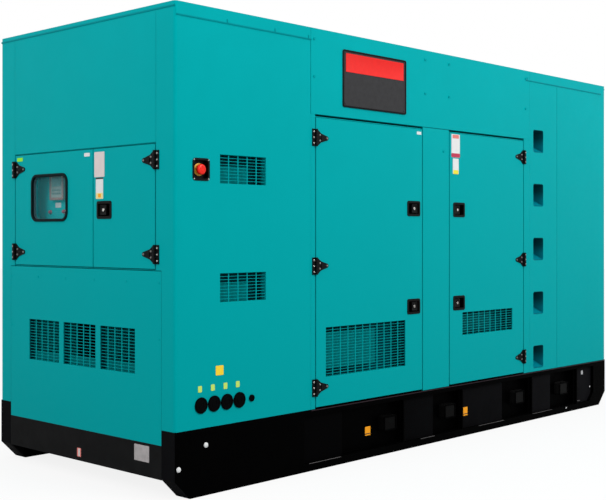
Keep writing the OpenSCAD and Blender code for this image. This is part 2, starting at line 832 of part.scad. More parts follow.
// Puts a hinge at a seam of a face; the door lies towards +u, or towards -u where flip is set.
module at_hinge(u, z, flip) translate([u, -pin_out, z]) mirror([flip ? 1 : 0, 0, 0]) children();

module at_door_hinges(u, flip) for (up = hinge_ups) at_hinge(u, skid_h + up, flip) children();
module at_leaf_hinges(u, flip) for (up = end_hinge_ups) at_hinge(u, end_door_z0 + up, flip) children();

module fixed_hinge_leaves() color(black) {
    both_sides() {
        at_door_hinges(door_1_pin_s, false) fixed_hinge_leaf();
        at_door_hinges(door_2_pin_s, true) fixed_hinge_leaf();
    }
    control_end() {
        at_leaf_hinges(latch_leaf_pin_w, false) fixed_hinge_leaf();
        at_leaf_hinges(window_leaf_pin_w, true) fixed_hinge_leaf();
    }
}

// ---- Latches --------------------------------------------------------------------------

// What a latch body fills, from depth y0 to y1.
module latch_form(u, z, y0, y1)
    rounded_plate(u, z, latch_body_w, latch_body_h, latch_r - latch_flange / 2, y0, y1);

module latch_hole(u, z) latch_form(u, z, -cut, panel_t + cut);

// A latch case; free is 1 where the door's free edge lies towards +u, and -1 where it lies towards -u.
module latch(u, z, free) difference() {
    union() {
        rounded_plate(u, z, latch_w, latch_h, latch_r, -flange_t, 0);
        latch_form(u, z, -cut, latch_d + latch_back);
    }
    translate([u - recess_w / 2, -flange_t - cut, z - recess_h / 2])
        cube([recess_w, latch_d + flange_t + cut, recess_h]);
    translate([u + free * paddle_pin_u, paddle_pin_y, z])
        cylinder(h = paddle_pin_l + 2 * pin_play, r = paddle_pin_r + pin_play, center = true);
}

// A paddle on its upright pin, beside the finger space.
module paddle(u, z, free) translate([u, 0, z]) mirror([free < 0 ? 1 : 0, 0, 0]) {
    translate([finger_w - recess_w / 2, paddle_in, -paddle_h / 2]) cube([paddle_w, paddle_t, paddle_h]);
    translate([paddle_pin_u, paddle_pin_y, 0]) cylinder(h = paddle_pin_l, r = paddle_pin_r, center = true);
}

// ---- Long-side doors ------------------------------------------------------------------

// A lined door in its opening, with a grille and two latch holes.
module side_door(s0, w, latch_s, grille) {
    difference() {
        slab(s0 + door_gap, s0 + w - door_gap, door_z0, door_z1);
        grille_hole(grille[0], skid_h + grille[1], grille[2], grille[3], cell_w);
        for (up = latch_ups) latch_hole(latch_s, skid_h + up);
    }
    grille_bars(grille[0], skid_h + grille[1], grille[2], grille[3], cell_w);
    baffle(grille[0], skid_h + grille[1], grille[2], grille[3], cell_w, 0, 0.66, 0.14, 0.88);
}

module door_1() side_door(door_1_s0, door_1_w, door_1_latch_s, door_1_grille);
module door_2() side_door(door_2_s0, door_2_w, door_2_latch_s, door_2_grille);
module door_1_hinges() at_door_hinges(door_1_pin_s, false) moving_hinge_leaf();
module door_2_hinges() at_door_hinges(door_2_pin_s, true) moving_hinge_leaf();
module latch_pair(s, free) for (up = latch_ups) latch(s, skid_h + up, free);
module door_1_paddle(up) paddle(door_1_latch_s, skid_h + up, 1);
module door_2_paddle(up) paddle(door_2_latch_s, skid_h + up, -1);

module front_door_1() color(teal) front_side() door_1();
module front_door_1_hinges() color(black) front_side() door_1_hinges();
module front_door_1_latches() color(black) front_side() latch_pair(door_1_latch_s, 1);
module front_door_1_upper_paddle() color(black) front_side() door_1_paddle(latch_high_up);
module front_door_1_lower_paddle() color(black) front_side() door_1_paddle(latch_low_up);

module front_door_2() color(teal) front_side() door_2();
module front_door_2_hinges() color(black) front_side() door_2_hinges();
module front_door_2_latches() color(black) front_side() latch_pair(door_2_latch_s, -1);
module front_door_2_upper_paddle() color(black) front_side() door_2_paddle(latch_high_up);
module front_door_2_lower_paddle() color(black) front_side() door_2_paddle(latch_low_up);

module rear_door_1() color(teal) rear_side() door_1();
module rear_door_1_hinges() color(black) rear_side() door_1_hinges();
module rear_door_1_latches() color(black) rear_side() latch_pair(door_1_latch_s, 1);
module rear_door_1_upper_paddle() color(black) rear_side() door_1_paddle(latch_high_up);
module rear_door_1_lower_paddle() color(black) rear_side() door_1_paddle(latch_low_up);

module rear_door_2() color(teal) rear_side() door_2();
module rear_door_2_hinges() color(black) rear_side() door_2_hinges();
module rear_door_2_latches() color(black) rear_side() latch_pair(door_2_latch_s, -1);
module rear_door_2_upper_paddle() color(black) rear_side() door_2_paddle(latch_high_up);
module rear_door_2_lower_paddle() color(black) rear_side() door_2_paddle(latch_low_up);

// ---- Control-end doors ----------------------------------------------------------------

// The window's shape, shrunk all round, from depth y0 to y1.
module window_shape(inset, y0, y1)
    rounded_plate(window_cw, window_cz, window_w - 2 * inset, window_h - 2 * inset, window_r - inset, y0, y1);

module window_door() color(teal) control_end() difference() {
    slab(window_leaf_edge_w, width - return_w - door_gap, leaf_z0, leaf_z1);
    window_shape(window_lap, -cut, panel_t + cut);
}

// Rubber frame: a lip on the door face, a sleeve through the door and a groove that holds the glass.
module window_frame() color(black) control_end() difference() {
    union() {
        window_shape(0, -window_proud, 0);
        window_shape(window_lap, -cut, panel_t / 2);
    }
    window_shape(window_rim, -window_proud - cut, panel_t / 2 + cut);
    window_shape(window_rim - glass_grip, panel_t / 4, panel_t / 4 + glass_t);
}

module window_glass() color([0.6, 0.75, 0.8, 0.4]) control_end()
    window_shape(window_rim - glass_grip, panel_t / 4, panel_t / 4 + glass_t);

module window_door_hinges() color(black) control_end()
    at_leaf_hinges(window_leaf_pin_w, true) moving_hinge_leaf();

module latch_door() color(teal) control_end() difference() {
    slab(return_w + door_gap, latch_leaf_edge_w, leaf_z0, leaf_z1);
    latch_hole(leaf_latch_w, leaf_latch_z);
}

module latch_door_hinges() color(black) control_end()
    at_leaf_hinges(latch_leaf_pin_w, false) moving_hinge_leaf();

module latch_door_latch() color(black) control_end() latch(leaf_latch_w, leaf_latch_z, 1);
module latch_door_paddle() color(black) control_end() paddle(leaf_latch_w, leaf_latch_z, 1);

// ---- Controls and fittings ------------------------------------------------------------

// Control cabinet behind the window, on two legs that stand on the deck.
module control_cabinet() color(teal) control_end() {
    translate([cabinet_w0, cabinet_y, skid_h + cabinet_up])
        cube([cabinet_w1 - cabinet_w0, cabinet_d, cabinet_h]);
    for (w = [cabinet_w0, cabinet_w1 - stand_w])
        translate([w, cabinet_y, skid_h]) cube([stand_w, cabinet_d, cabinet_up + cut]);
}

module controller() color([0.5, 0.52, 0.53]) control_end()
    rounded_plate(window_cw + controller_across, window_cz + controller_above, controller_w, controller_h,
        controller_r, cabinet_y - controller_t, cabinet_y);

module estop_housing() color(black) front_side() difference() {
    union() {
        rounded_plate(estop_s, skid_h + estop_up, estop_w, estop_w, estop_r, -flange_t, 0);
        rounded_plate(estop_s, skid_h + estop_up, estop_body, estop_body, estop_r, -cut, estop_d);
    }
    rounded_plate(estop_s, skid_h + estop_up, estop_body - 2 * estop_wall, estop_body - 2 * estop_wall,
        estop_r - estop_wall / 2, -flange_t - cut, estop_well);
    translate([estop_s, 0, skid_h + estop_up]) rotate([-90, 0, 0])
        cylinder(h = estop_d - latch_back, r = stem_r + pin_play);
}

// Mushroom button; its stem slides in the housing's back.
module estop_button() color([0.9, 0.1, 0.06]) front_side()
    translate([estop_s, -flange_t - button_out, skid_h + estop_up]) rotate([-90, 0, 0]) {
        cylinder(h = button_h - button_rim_h, r1 = button_face_r, r2 = button_r);
        translate([0, 0, button_h - button_rim_h]) cylinder(h = button_rim_h, r = button_r);
        cylinder(h = flange_t + button_out + estop_d - latch_back - button_travel - stem_play, r = stem_r);
    }

function cap_body(r) = r * cap_body_share;

module cap_at(cap) translate([cap[0], -cut, skid_h + cap_up]) rotate([-90, 0, 0]) children();

module cable_entry_caps() color(black) front_side() for (cap = caps) cap_at(cap) {
    translate([0, 0, cut - cap_proud]) cylinder(h = cap_proud, r = cap[1]);
    cylinder(h = panel_t + cut, r = cap_body(cap[1]));
}

module name_plates() color([0.2, 0.2, 0.22]) both_sides()
    rounded_plate(plate_s, skid_h + plate_up, plate_w, plate_h, latch_r, -plate_t, 0);

// ---- Machinery ------------------------------------------------------------------------

// A cylinder along the set, on the shaft line, from a station.
module shaft_disc(s, l, r) translate([end_x + s, 0, shaft_z]) rotate([0, 90, 0]) cylinder(h = l, r = r);

// A box along the set, centred across it.
module centred_box(s, l, w, z0, z1) translate([end_x + s, -w / 2, z0]) cube([l, w, z1 - z0]);

module alternator() color([0.03, 0.45, 0.5]) {
    shaft_disc(alternator_s0, alternator_l, alternator_r);
    shaft_disc(alternator_s0 - alternator_nose_l, alternator_nose_l + cut, alternator_r * 0.8);
    shaft_disc(alternator_s0 + alternator_l - cut, coupling_l + cut, alternator_r * 0.9);
    centred_box(alternator_s0 + terminal_box_in, terminal_box_l, terminal_box_w,
        shaft_z, shaft_z + alternator_r + terminal_box_h);
    for (s = [alternator_s0 + foot_in, alternator_s0 + alternator_l - foot_in - foot_l])
        centred_box(s, foot_l, alternator_foot_w, skid_h, shaft_z - alternator_r * 0.7);
}

// Block, sump, rocker cover and manifolds, with the flywheel housing behind and the pulley in front.
module engine() color([0.75, 0.75, 0.72]) {
    block_s0 = engine_s0 + flywheel_l - 2 * cut;
    block_l = engine_s0 + engine_l - block_s0;
    shaft_disc(engine_s0, flywheel_l, alternator_r * 0.95);
    centred_box(block_s0, block_l, engine_w, shaft_z - crankcase_down, head_z);
    centred_box(block_s0 + sump_in, block_l - 2 * sump_in, engine_w - 2 * sump_in,
        skid_h + sump_up, shaft_z - crankcase_down + cut);
    centred_box(block_s0 + cover_in / 2, block_l - cover_in, engine_w - 2 * cover_in,
        head_z - cut, head_z + cover_h);
    centred_box(engine_s0 + manifold_in, engine_l - 1.5 * manifold_in, engine_w + 2 * manifold_out,
        shaft_z + manifold_up, shaft_z + manifold_up + manifold_h);
    shaft_disc(engine_s0 + engine_l - cut, pulley_l, pulley_r);
    for (s = [block_s0 + foot_in, engine_s0 + engine_l - foot_in - foot_l])
        centred_box(s, foot_l, engine_w + 2 * foot_in, skid_h, shaft_z - foot_in);
}

// Radiator with its fan cowl, standing on the deck.
module radiator() color([0.1, 0.1, 0.11]) {
    centred_box(radiator_s0, radiator_t, radiator_w, skid_h, skid_h + radiator_h);
    translate([end_x + radiator_s0 - cowl_l, 0, fan_z]) rotate([0, 90, 0]) difference() {
        cylinder(h = cowl_l + cut, r = cowl_r + cowl_wall);
        translate([0, 0, -cut]) cylinder(h = cowl_l + 3 * cut, r = cowl_r);
    }
}

// Fan on its shaft in front of the block, inside the cowl.
module fan() color([0.12, 0.12, 0.13]) {
    hub_l = radiator_gap - cowl_l / 3;
    root_r = sqrt(fan_hub_r ^ 2 - (blade_w / 2) ^ 2) / 2;
    translate([end_x + engine_s0 + engine_l, 0, fan_z]) rotate([0, 90, 0]) {
        cylinder(h = hub_l, r = fan_hub_r);
        for (i = [0:fan_blades - 1]) rotate([0, 0, (i + 0.25) * 360 / fan_blades])
            translate([root_r, -blade_w / 2, hub_l - 3 * blade_t])
                cube([fan_r - root_r, blade_w, blade_t]);
    }
}

// Silencer across the outlet end, hung from the roof on two straps.
module silencer() color([0.55, 0.55, 0.56])
    translate([end_x + radiator_s0 + radiator_t + silencer_behind, 0, silencer_z]) {
        rotate([90, 0, 0]) cylinder(h = silencer_l, r = silencer_r, center = true);
        for (k = [-1, 1]) translate([-strap_t / 2, k * silencer_l / 3 - strap_w / 2, 0])
            cube([strap_t, strap_w, roof_z - silencer_z]);
    }

skid_rails();
skid_bosses();
skid_end_plates();
fuel_tank();
base_deck();
door_posts();
side_panels();
headers();
step_panels();
step_pockets();
tail_panels();
roof_panel();
control_end_upper_panel();
control_end_lower_panel();
radiator_end_upper_panel();
radiator_end_lower_panel();
control_cabinet();
controller();
estop_housing();
estop_button();
cable_entry_caps();
name_plates();
fixed_hinge_leaves();
engine();
alternator();
fan();
radiator();
silencer();
front_door_1();
front_door_1_hinges();
front_door_1_latches();
front_door_1_upper_paddle();
front_door_1_lower_paddle();
front_door_2();
front_door_2_hinges();
front_door_2_latches();
front_door_2_upper_paddle();
front_door_2_lower_paddle();
rear_door_1();
rear_door_1_hinges();
rear_door_1_latches();
rear_door_1_upper_paddle();
rear_door_1_lower_paddle();
rear_door_2();
rear_door_2_hinges();
rear_door_2_latches();
rear_door_2_upper_paddle();
rear_door_2_lower_paddle();
window_door();
window_frame();
window_glass();
window_door_hinges();
latch_door();
latch_door_hinges();
latch_door_latch();
latch_door_paddle();
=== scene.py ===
"""Dressed model of a silenced diesel generator set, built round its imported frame.

Lengths are metres in the frame of the CAD part.  The long side with the emergency stop faces -Y, and the
control end faces -X.  Stations are measured along the set from the control end face, and positions across an
end face from its front corner.
"""

import json
import logging
import math
from dataclasses import dataclass, field
from enum import Enum
from functools import cache
from typing import Callable, Sequence

import bmesh
import bpy
from mathutils import Matrix, Vector


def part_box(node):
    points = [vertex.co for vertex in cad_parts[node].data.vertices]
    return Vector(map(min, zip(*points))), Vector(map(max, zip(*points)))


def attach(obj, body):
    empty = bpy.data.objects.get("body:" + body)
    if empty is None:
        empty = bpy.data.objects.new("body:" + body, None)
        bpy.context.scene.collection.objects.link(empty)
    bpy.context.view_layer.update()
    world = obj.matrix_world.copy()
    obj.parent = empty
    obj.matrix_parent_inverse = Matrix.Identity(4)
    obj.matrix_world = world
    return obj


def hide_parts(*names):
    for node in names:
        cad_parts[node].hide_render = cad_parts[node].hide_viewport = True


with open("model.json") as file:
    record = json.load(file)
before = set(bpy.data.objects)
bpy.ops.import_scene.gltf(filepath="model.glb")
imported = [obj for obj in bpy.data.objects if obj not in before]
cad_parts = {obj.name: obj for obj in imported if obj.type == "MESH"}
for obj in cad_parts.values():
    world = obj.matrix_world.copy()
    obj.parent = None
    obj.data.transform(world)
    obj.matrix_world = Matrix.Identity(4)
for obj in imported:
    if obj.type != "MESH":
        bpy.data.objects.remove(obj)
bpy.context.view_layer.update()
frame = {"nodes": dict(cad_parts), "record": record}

LOG = logging.getLogger("generator")
ROOT = "generator"
Piece = bpy.types.Object
Socket = bpy.types.NodeSocket
Numbers = tuple[float, ...]
Pair = tuple[float, float]
Pairs = tuple[Pair, ...]
Triple = tuple[float, float, float]


# ---- Faces and places of the canopy ----


@dataclass(frozen=True)
class Face:
    """One upright face of the canopy, with positions along it and depths behind it."""

    origin: Vector
    along: Vector
    inward: Vector

    def point(self, u: float, depth: float, z: float) -> Vector:
        """The point at a position along the face, a depth behind it and a height."""
        return self.origin + self.along * u + self.inward * depth + Vector((0, 0, z))

    def place(self, u: float, depth: float, z: float, towards: int = 1) -> Matrix:
        """The matrix that sets a piece on the face.

        Args:
            u: Position along the face.
            depth: Depth behind the face; negative is in front of it.
            z: Height above the ground.
            towards: 1 where the piece's x points along the face, -1 where it points back.

        Returns:
            A matrix whose y axis points into the face and whose x axis lies along it.
        """
        x_axis = self.along * towards
        z_axis = x_axis.cross(self.inward)
        turn = Matrix((x_axis, self.inward, z_axis)).transposed().to_4x4()
        return Matrix.Translation(self.point(u, depth, z)) @ turn


X0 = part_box("skid_rails")[0].x
X1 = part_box("skid_rails")[1].x
HALF_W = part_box("side_panels")[1].y
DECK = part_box("base_deck")[1].z
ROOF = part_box("roof_panel")[1].z
LENGTH = X1 - X0
WIDTH = 2 * HALF_W
RIGHT, FORWARD = Vector((1, 0, 0)), Vector((0, 1, 0))
FRONT = Face(Vector((X0, -HALF_W, 0)), RIGHT, FORWARD)
REAR = Face(Vector((X0, HALF_W, 0)), RIGHT, -FORWARD)
CONTROL_END = Face(Vector((X0, -HALF_W, 0)), FORWARD, RIGHT)
RADIATOR_END = Face(Vector((X1, -HALF_W, 0)), FORWARD, -RIGHT)
SIDES = {"front": FRONT, "rear": REAR}
LINING_DEPTH, BAFFLE_DEPTH = 0.0392, 0.030
DEEP_BAY, SHALLOW_BAY = 0.055, 0.022
STEP_FOOT, STEP_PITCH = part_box("step_pockets")[0].z, 0.358


def span(node: str, face: Face) -> tuple[float, float, float, float]:
    """Where a node lies on a face.

    Args:
        node: Name of the CAD node.
        face: Face to measure on.

    Returns:
        Its lowest and highest position along the face, and its lowest and highest height.
    """
    low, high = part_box(node)
    ends = sorted((corner - face.origin).dot(face.along) for corner in (low, high))
    return ends[0], ends[1], low.z, high.z


def move(x: float, y: float, z: float) -> Matrix:
    """The matrix that moves a piece."""
    return Matrix.Translation((x, y, z))


# ---- Finishes ----


class Graph:
    """A material's node tree, with short calls for the nodes that the finishes share."""

    def __init__(self, name: str) -> None:
        """Starts a material with one Principled shader.

        Args:
            name: Name of the material.
        """
        self.material = bpy.data.materials.new(name)
        self.material.use_nodes = True
        self.tree = self.material.node_tree
        self.shader = self.tree.nodes["Principled BSDF"]
        self.place = self.node("ShaderNodeTexCoord").outputs["Object"]

    def node(
        self, kind: str, inputs: dict[str | int, object] | None = None, **settings: object
    ) -> bpy.types.Node:
        """Adds a node.

        Args:
            kind: Blender's name for the node's type.
            inputs: A link or a plain value for each input that isn't left as it is.
            settings: The node's own properties.

        Returns:
            The node.
        """
        made = self.tree.nodes.new(kind)
        for key, value in settings.items():
            setattr(made, key, value)
        for key, value in (inputs or {}).items():
            self.feed(made.inputs[key], value)
        return made

    def link(self, source: Socket, target: Socket) -> None:
        """Joins an output to an input."""
        self.tree.links.new(source, target)

    def feed(self, target: Socket, value: object) -> None:
        """Gives an input a link or a plain value.

        Args:
            target: The input.
            value: An output to link, a number, or a colour without its alpha.
        """
        if isinstance(value, Socket):
            self.link(value, target)
        elif target.type == "RGBA" and len(value) == 3:
            target.default_value = (*value, 1.0)
        else:
            target.default_value = value

    def noise(self, scale: float, detail: float = 2.0) -> Socket:
        """Noise from 0 to 1 on the piece's own coordinates, by waves per metre and octaves."""
        return self.node(
            "ShaderNodeTexNoise", {"Scale": scale, "Detail": detail, "Vector": self.place},
        ).outputs["Fac"]

    def cells(self, scale: float) -> Socket:
        """Distance to the nearest point of a cell pattern with that many cells per metre."""
        return self.node("ShaderNodeTexVoronoi", {"Scale": scale, "Vector": self.place}).outputs["Distance"]

    def level(self, value: object, low: float, high: float, to_low: float, to_high: float) -> Socket:
        """Maps a value from one range to another, and holds it there."""
        names = ("Value", "From Min", "From Max", "To Min", "To Max")
        return self.node(
            "ShaderNodeMapRange", dict(zip(names, (value, low, high, to_low, to_high))),
        ).outputs["Result"]

    def math(self, operation: str, a: object, b: object = 0.0) -> Socket:
        """A Math node on two values."""
        return self.node("ShaderNodeMath", {0: a, 1: b}, operation=operation).outputs[0]

    def mix(self, factor: object, a: object, b: object) -> Socket:
        """Mixes two colours by a factor."""
        made = self.node("ShaderNodeMix", {"Factor": factor, "A": a, "B": b}, data_type="RGBA")
        return next(out for out in made.outputs if out.type == "RGBA")

    def axes(self) -> tuple[Socket, Socket, Socket]:
        """The three coordinates of the piece, one socket each."""
        made = self.node("ShaderNodeSeparateXYZ", {0: self.place})
        return made.outputs[0], made.outputs[1], made.outputs[2]

    def rounded(self, radius: float) -> Socket:
        """A normal that rounds the piece's sharp edges by a radius."""
        return self.node("ShaderNodeBevel", {"Radius": radius}, samples=4).outputs["Normal"]

    def bump(self, height: object, distance: float, strength: float, normal: Socket | None = None) -> Socket:
        """A normal raised by a height.

        Args:
            height: Height socket, from 0 to 1.
            distance: Depth of the relief in metres.
            strength: Share of the relief that shows.
            normal: Normal to start from, if not the surface's own.

        Returns:
            The normal output.
        """
        start = {} if normal is None else {"Normal": normal}
        relief = {"Distance": distance, "Strength": strength, "Height": height}
        return self.node("ShaderNodeBump", relief | start).outputs["Normal"]

    def surface(self, **values: object) -> bpy.types.Material:
        """Feeds the shader's inputs.

        Args:
            values: A link or a plain value for each input, its name in small letters with underscores.

        Returns:
            The finished material.
        """
        for key, value in values.items():
            self.feed(self.shader.inputs[key.replace("_", " ").title().replace("Ior", "IOR")], value)
        return self.material


def shade(colour: Triple, factor: float) -> Triple:
    """The colour made lighter or darker by a factor."""
    return tuple(min(1.0, part * factor) for part in colour)


def linear(value: int) -> float:
    """The linear share of one 0 to 255 value."""
    part = value / 255
    return part / 12.92 if part <= 0.04045 else ((part + 0.055) / 1.055) ** 2.4


def srgb(red: int, green: int, blue: int) -> Triple:
    """A linear colour from its usual 0 to 255 values."""
    return linear(red), linear(green), linear(blue)


@dataclass(frozen=True)
class Finish:
    """What a surface is covered with; each finish makes its material once."""

    name: str
    colour: Triple

    @cache
    def material(self) -> bpy.types.Material:
        """The finish's material, made on first use."""
        return self.build(Graph(self.name))

    def build(self, graph: Graph) -> bpy.types.Material:
        """Builds the node tree; each kind of finish has its own.

        Args:
            graph: The new material's nodes.

        Returns:
            The finished material.
        """
        raise NotImplementedError


@dataclass(frozen=True)
class PowderCoat(Finish):
    """Satin powder coat on sheet metal, a little uneven in tone, with a fine peel and soft edges."""

    roughness: float = 0.42
    peel: float = 0.00012
    sway: float = 0.0016
    edge: float = 0.0022
    foot_shade: float = 0.88
    gloss: float = 0.045
    sheen: Triple = (0.0, 0.85, 0.9)
    baffle_shade: float = 0.5
    lined: bool = False
    pocket_shade: float = 1.0

    def build(self, graph: Graph) -> bpy.types.Material:
        """Tone from broad and fine noise; painted shade low down, in the step pockets and deep behind the
        faces; foam black on what faces the machine space.

        Args:
            graph: The new material's nodes.

        Returns:
            The finished material.
        """
        _, _, height = graph.axes()
        tone = graph.mix(
            graph.level(graph.noise(0.9, 3), 0.35, 0.65, 0, 1), self.colour, shade(self.colour, 1.05),
        )
        tone = graph.mix(graph.level(graph.noise(7, 4), 0.4, 0.75, 0, 0.35), tone, shade(self.colour, 0.93))
        # painted shade: the coat darkens towards the foot of the canopy
        foot = graph.level(height, DECK, ROOF, 1, 0)
        tone = graph.mix(foot, tone, shade(self.colour, self.foot_shade))
        rough = graph.level(graph.noise(26, 3), 0.3, 0.7, self.roughness - 0.05, self.roughness + 0.06)
        normal = graph.bump(graph.noise(1.7, 1), self.sway, 0.5, graph.rounded(self.edge))
        normal = graph.bump(graph.noise(420, 2), self.peel, 0.5, normal)
        # painted shade under the head and on the floor of each step pocket
        if self.pocket_shade < 1:
            rise = graph.math(
                "FRACT", graph.math("DIVIDE", graph.math("SUBTRACT", height, STEP_FOOT), STEP_PITCH),
            )
            tone = graph.mix(graph.level(rise, 0.12, 0.28, 0, 1), tone, shade(self.colour, self.pocket_shade))
            tone = graph.mix(graph.level(rise, 0.005, 0.03, 1, 0), tone, shade(self.colour, 0.6))
        if self.lined:
            # painted shade on the faces that lie deeper than the baffles behind the outside faces
            tone = graph.mix(self.deeper(graph, BAFFLE_DEPTH), tone, shade(self.colour, self.baffle_shade))
            inner = self.deeper(graph, LINING_DEPTH)
            foam = graph.mix(graph.level(graph.cells(90), 0.1, 0.5, 0, 1), (0.006,) * 3, (0.02,) * 3)
            tone = graph.mix(inner, tone, foam)
            rough = graph.math("MAXIMUM", rough, graph.math("MULTIPLY", inner, 0.95))
        return graph.surface(
            base_color=tone, roughness=rough, normal=normal, specular_ior_level=self.gloss,
            specular_tint=(*self.sheen, 1.0),
        )

    def deeper(self, graph: Graph, depth: float) -> Socket:
        """Finds the faces that lie behind every outside face of the canopy.

        Args:
            graph: The material's nodes.
            depth: How far behind they lie at least.

        Returns:
            1 on those faces and 0 elsewhere.
        """
        x, y, z = graph.axes()
        reach_x = graph.math("ABSOLUTE", graph.math("SUBTRACT", x, (X0 + X1) / 2))
        inside_x = graph.math("LESS_THAN", reach_x, LENGTH / 2 - depth)
        inside_y = graph.math("LESS_THAN", graph.math("ABSOLUTE", y), HALF_W - depth)
        inside_z = graph.math("LESS_THAN", z, ROOF - depth)
        return graph.math("MULTIPLY", inside_x, graph.math("MULTIPLY", inside_y, inside_z))


@dataclass(frozen=True)
class SkidPaint(Finish):
    """Black chassis paint, semi-gloss, with faint dust that gathers low down and painted light on some faces.
    """

    roughness: float = 0.4
    gloss: float = 0.05
    edge: float = 0.004
    shallow: float = 1.0
    ends: float = 1.0
    far_light: float = 1.0
    dark_to: float = 1.2

    def build(self, graph: Graph) -> bpy.types.Material:
        """Nearly black, greyer where dust lies; painted light on the faces of the shallow bays, on the end
        faces and towards the far end.

        Args:
            graph: The new material's nodes.

        Returns:
            The finished material.
        """
        x, y, height = graph.axes()
        low = graph.level(height, 0.0, DECK, 1, 0.15)
        dust = graph.math("MULTIPLY", graph.level(graph.noise(9, 5), 0.45, 0.8, 0, 0.55), low)
        depth = graph.math("SUBTRACT", HALF_W, graph.math("ABSOLUTE", y))
        # painted light on the faces of the shallow bays
        bay = graph.math("MULTIPLY", graph.math("GREATER_THAN", depth, SHALLOW_BAY - 0.002),
                         graph.math("LESS_THAN", depth, SHALLOW_BAY + 0.002))
        # painted light that grows towards the far end of the set
        along = graph.level(x, X0 + self.dark_to, X1, 0.1, 1)
        # painted light on the faces at the control end
        end = graph.math(
            "MULTIPLY", graph.math("LESS_THAN", x, X0 + 0.08), graph.math("GREATER_THAN", depth, 0.002),
        )
        tone = graph.mix(along, self.colour, shade(self.colour, self.far_light))
        tone = graph.mix(graph.math("MULTIPLY", bay, along), tone, shade(self.colour, self.shallow))
        tone = graph.mix(end, tone, shade(self.colour, self.ends))
        tone = graph.mix(dust, tone, shade(self.colour, 2.6))
        rough = graph.level(graph.noise(30, 4), 0.3, 0.7, self.roughness - 0.06, self.roughness + 0.12)
        normal = graph.bump(graph.noise(2.2, 2), 0.002, 0.5, graph.rounded(self.edge))
        normal = graph.bump(graph.noise(300, 2), 0.0002, 0.5, normal)
        return graph.surface(base_color=tone, roughness=rough, normal=normal, specular_ior_level=self.gloss)


@dataclass(frozen=True)
class Moulding(Finish):
    """Moulded plastic or rubber with a fine grain."""

    roughness: float = 0.45
    grain: float = 0.00008
    grain_scale: float = 900.0
    edge: float = 0.0012
    gloss: float = 0.3
    mottle: float = 1.18
    bore: Triple | None = None
    bore_from: float = 0.004

    def build(self, graph: Graph) -> bpy.types.Material:
        """Even colour with a fine grained sheen, and a lighter colour of painted light in a bore where one is
        given.

        Args:
            graph: The new material's nodes.

        Returns:
            The finished material.
        """
        tone = graph.mix(
            graph.level(graph.noise(40, 3), 0.35, 0.7, 0, 1), self.colour, shade(self.colour, self.mottle),
        )
        # painted light: a lighter colour in the bore, where the frame's rubber lies in shade
        if self.bore:
            tone = graph.mix(
                graph.math("GREATER_THAN", graph.axes()[0], X0 + self.bore_from), tone, self.bore,
            )
        rough = graph.level(graph.noise(60, 3), 0.3, 0.7, self.roughness - 0.05, self.roughness + 0.08)
        normal = graph.bump(graph.noise(self.grain_scale, 2), self.grain, 0.6, graph.rounded(self.edge))
        return graph.surface(base_color=tone, roughness=rough, normal=normal, specular_ior_level=self.gloss)


@dataclass(frozen=True)
class Metal(Finish):
    """Bare, plated or cast metal."""

    roughness: float = 0.32
    metallic: float = 1.0
    grain: float = 0.0001
    grain_scale: float = 500.0
    edge: float = 0.0008
    gloss: float = 0.5

    def build(self, graph: Graph) -> bpy.types.Material:
        """Metal with a slightly mottled sheen.

        Args:
            graph: The new material's nodes.

        Returns:
            The finished material.
        """
        tone = graph.mix(
            graph.level(graph.noise(35, 4), 0.35, 0.7, 0, 1), self.colour, shade(self.colour, 0.78),
        )
        rough = graph.level(graph.noise(90, 4), 0.3, 0.7, self.roughness - 0.08, self.roughness + 0.12)
        normal = graph.bump(graph.noise(self.grain_scale, 3), self.grain, 0.6, graph.rounded(self.edge))
        return graph.surface(
            base_color=tone, roughness=rough, normal=normal, metallic=self.metallic,
            specular_ior_level=self.gloss,
        )


@dataclass(frozen=True)
class Foam(Finish):
    """Open-cell acoustic foam behind a perforated skin."""

    def build(self, graph: Graph) -> bpy.types.Material:
        """Dark foam with a cell pattern.

        Args:
            graph: The new material's nodes.

        Returns:
            The finished material.
        """
        cell = graph.cells(70)
        tone = graph.mix(graph.level(cell, 0.05, 0.6, 0, 1), shade(self.colour, 0.45), self.colour)
        return graph.surface(base_color=tone, roughness=0.95, normal=graph.bump(cell, 0.002, 0.8))


@dataclass(frozen=True)
class Glass(Finish):
    """Clear safety glass with a trace of smear in its gloss, and a faint teal body that paints light over the
    shade behind it.
    """

    # share of the faint teal body, painted light over the shade behind the glass
    body: float = 0.13

    def build(self, graph: Graph) -> bpy.types.Material:
        """Mostly clear; the smear is in the roughness."""
        rough = graph.level(graph.noise(18, 4), 0.4, 0.8, 0.02, 0.08)
        return graph.surface(base_color=self.colour, roughness=rough, alpha=self.body, specular_ior_level=0.4)


TEAL = srgb(0, 167, 171)


def tint(name: str, red: int, green: int, blue: int, mottle: float = 1.04) -> Moulding:
    """The smooth, even finish of a tag or a marking."""
    return Moulding(name, srgb(red, green, blue), roughness=0.4, mottle=mottle)


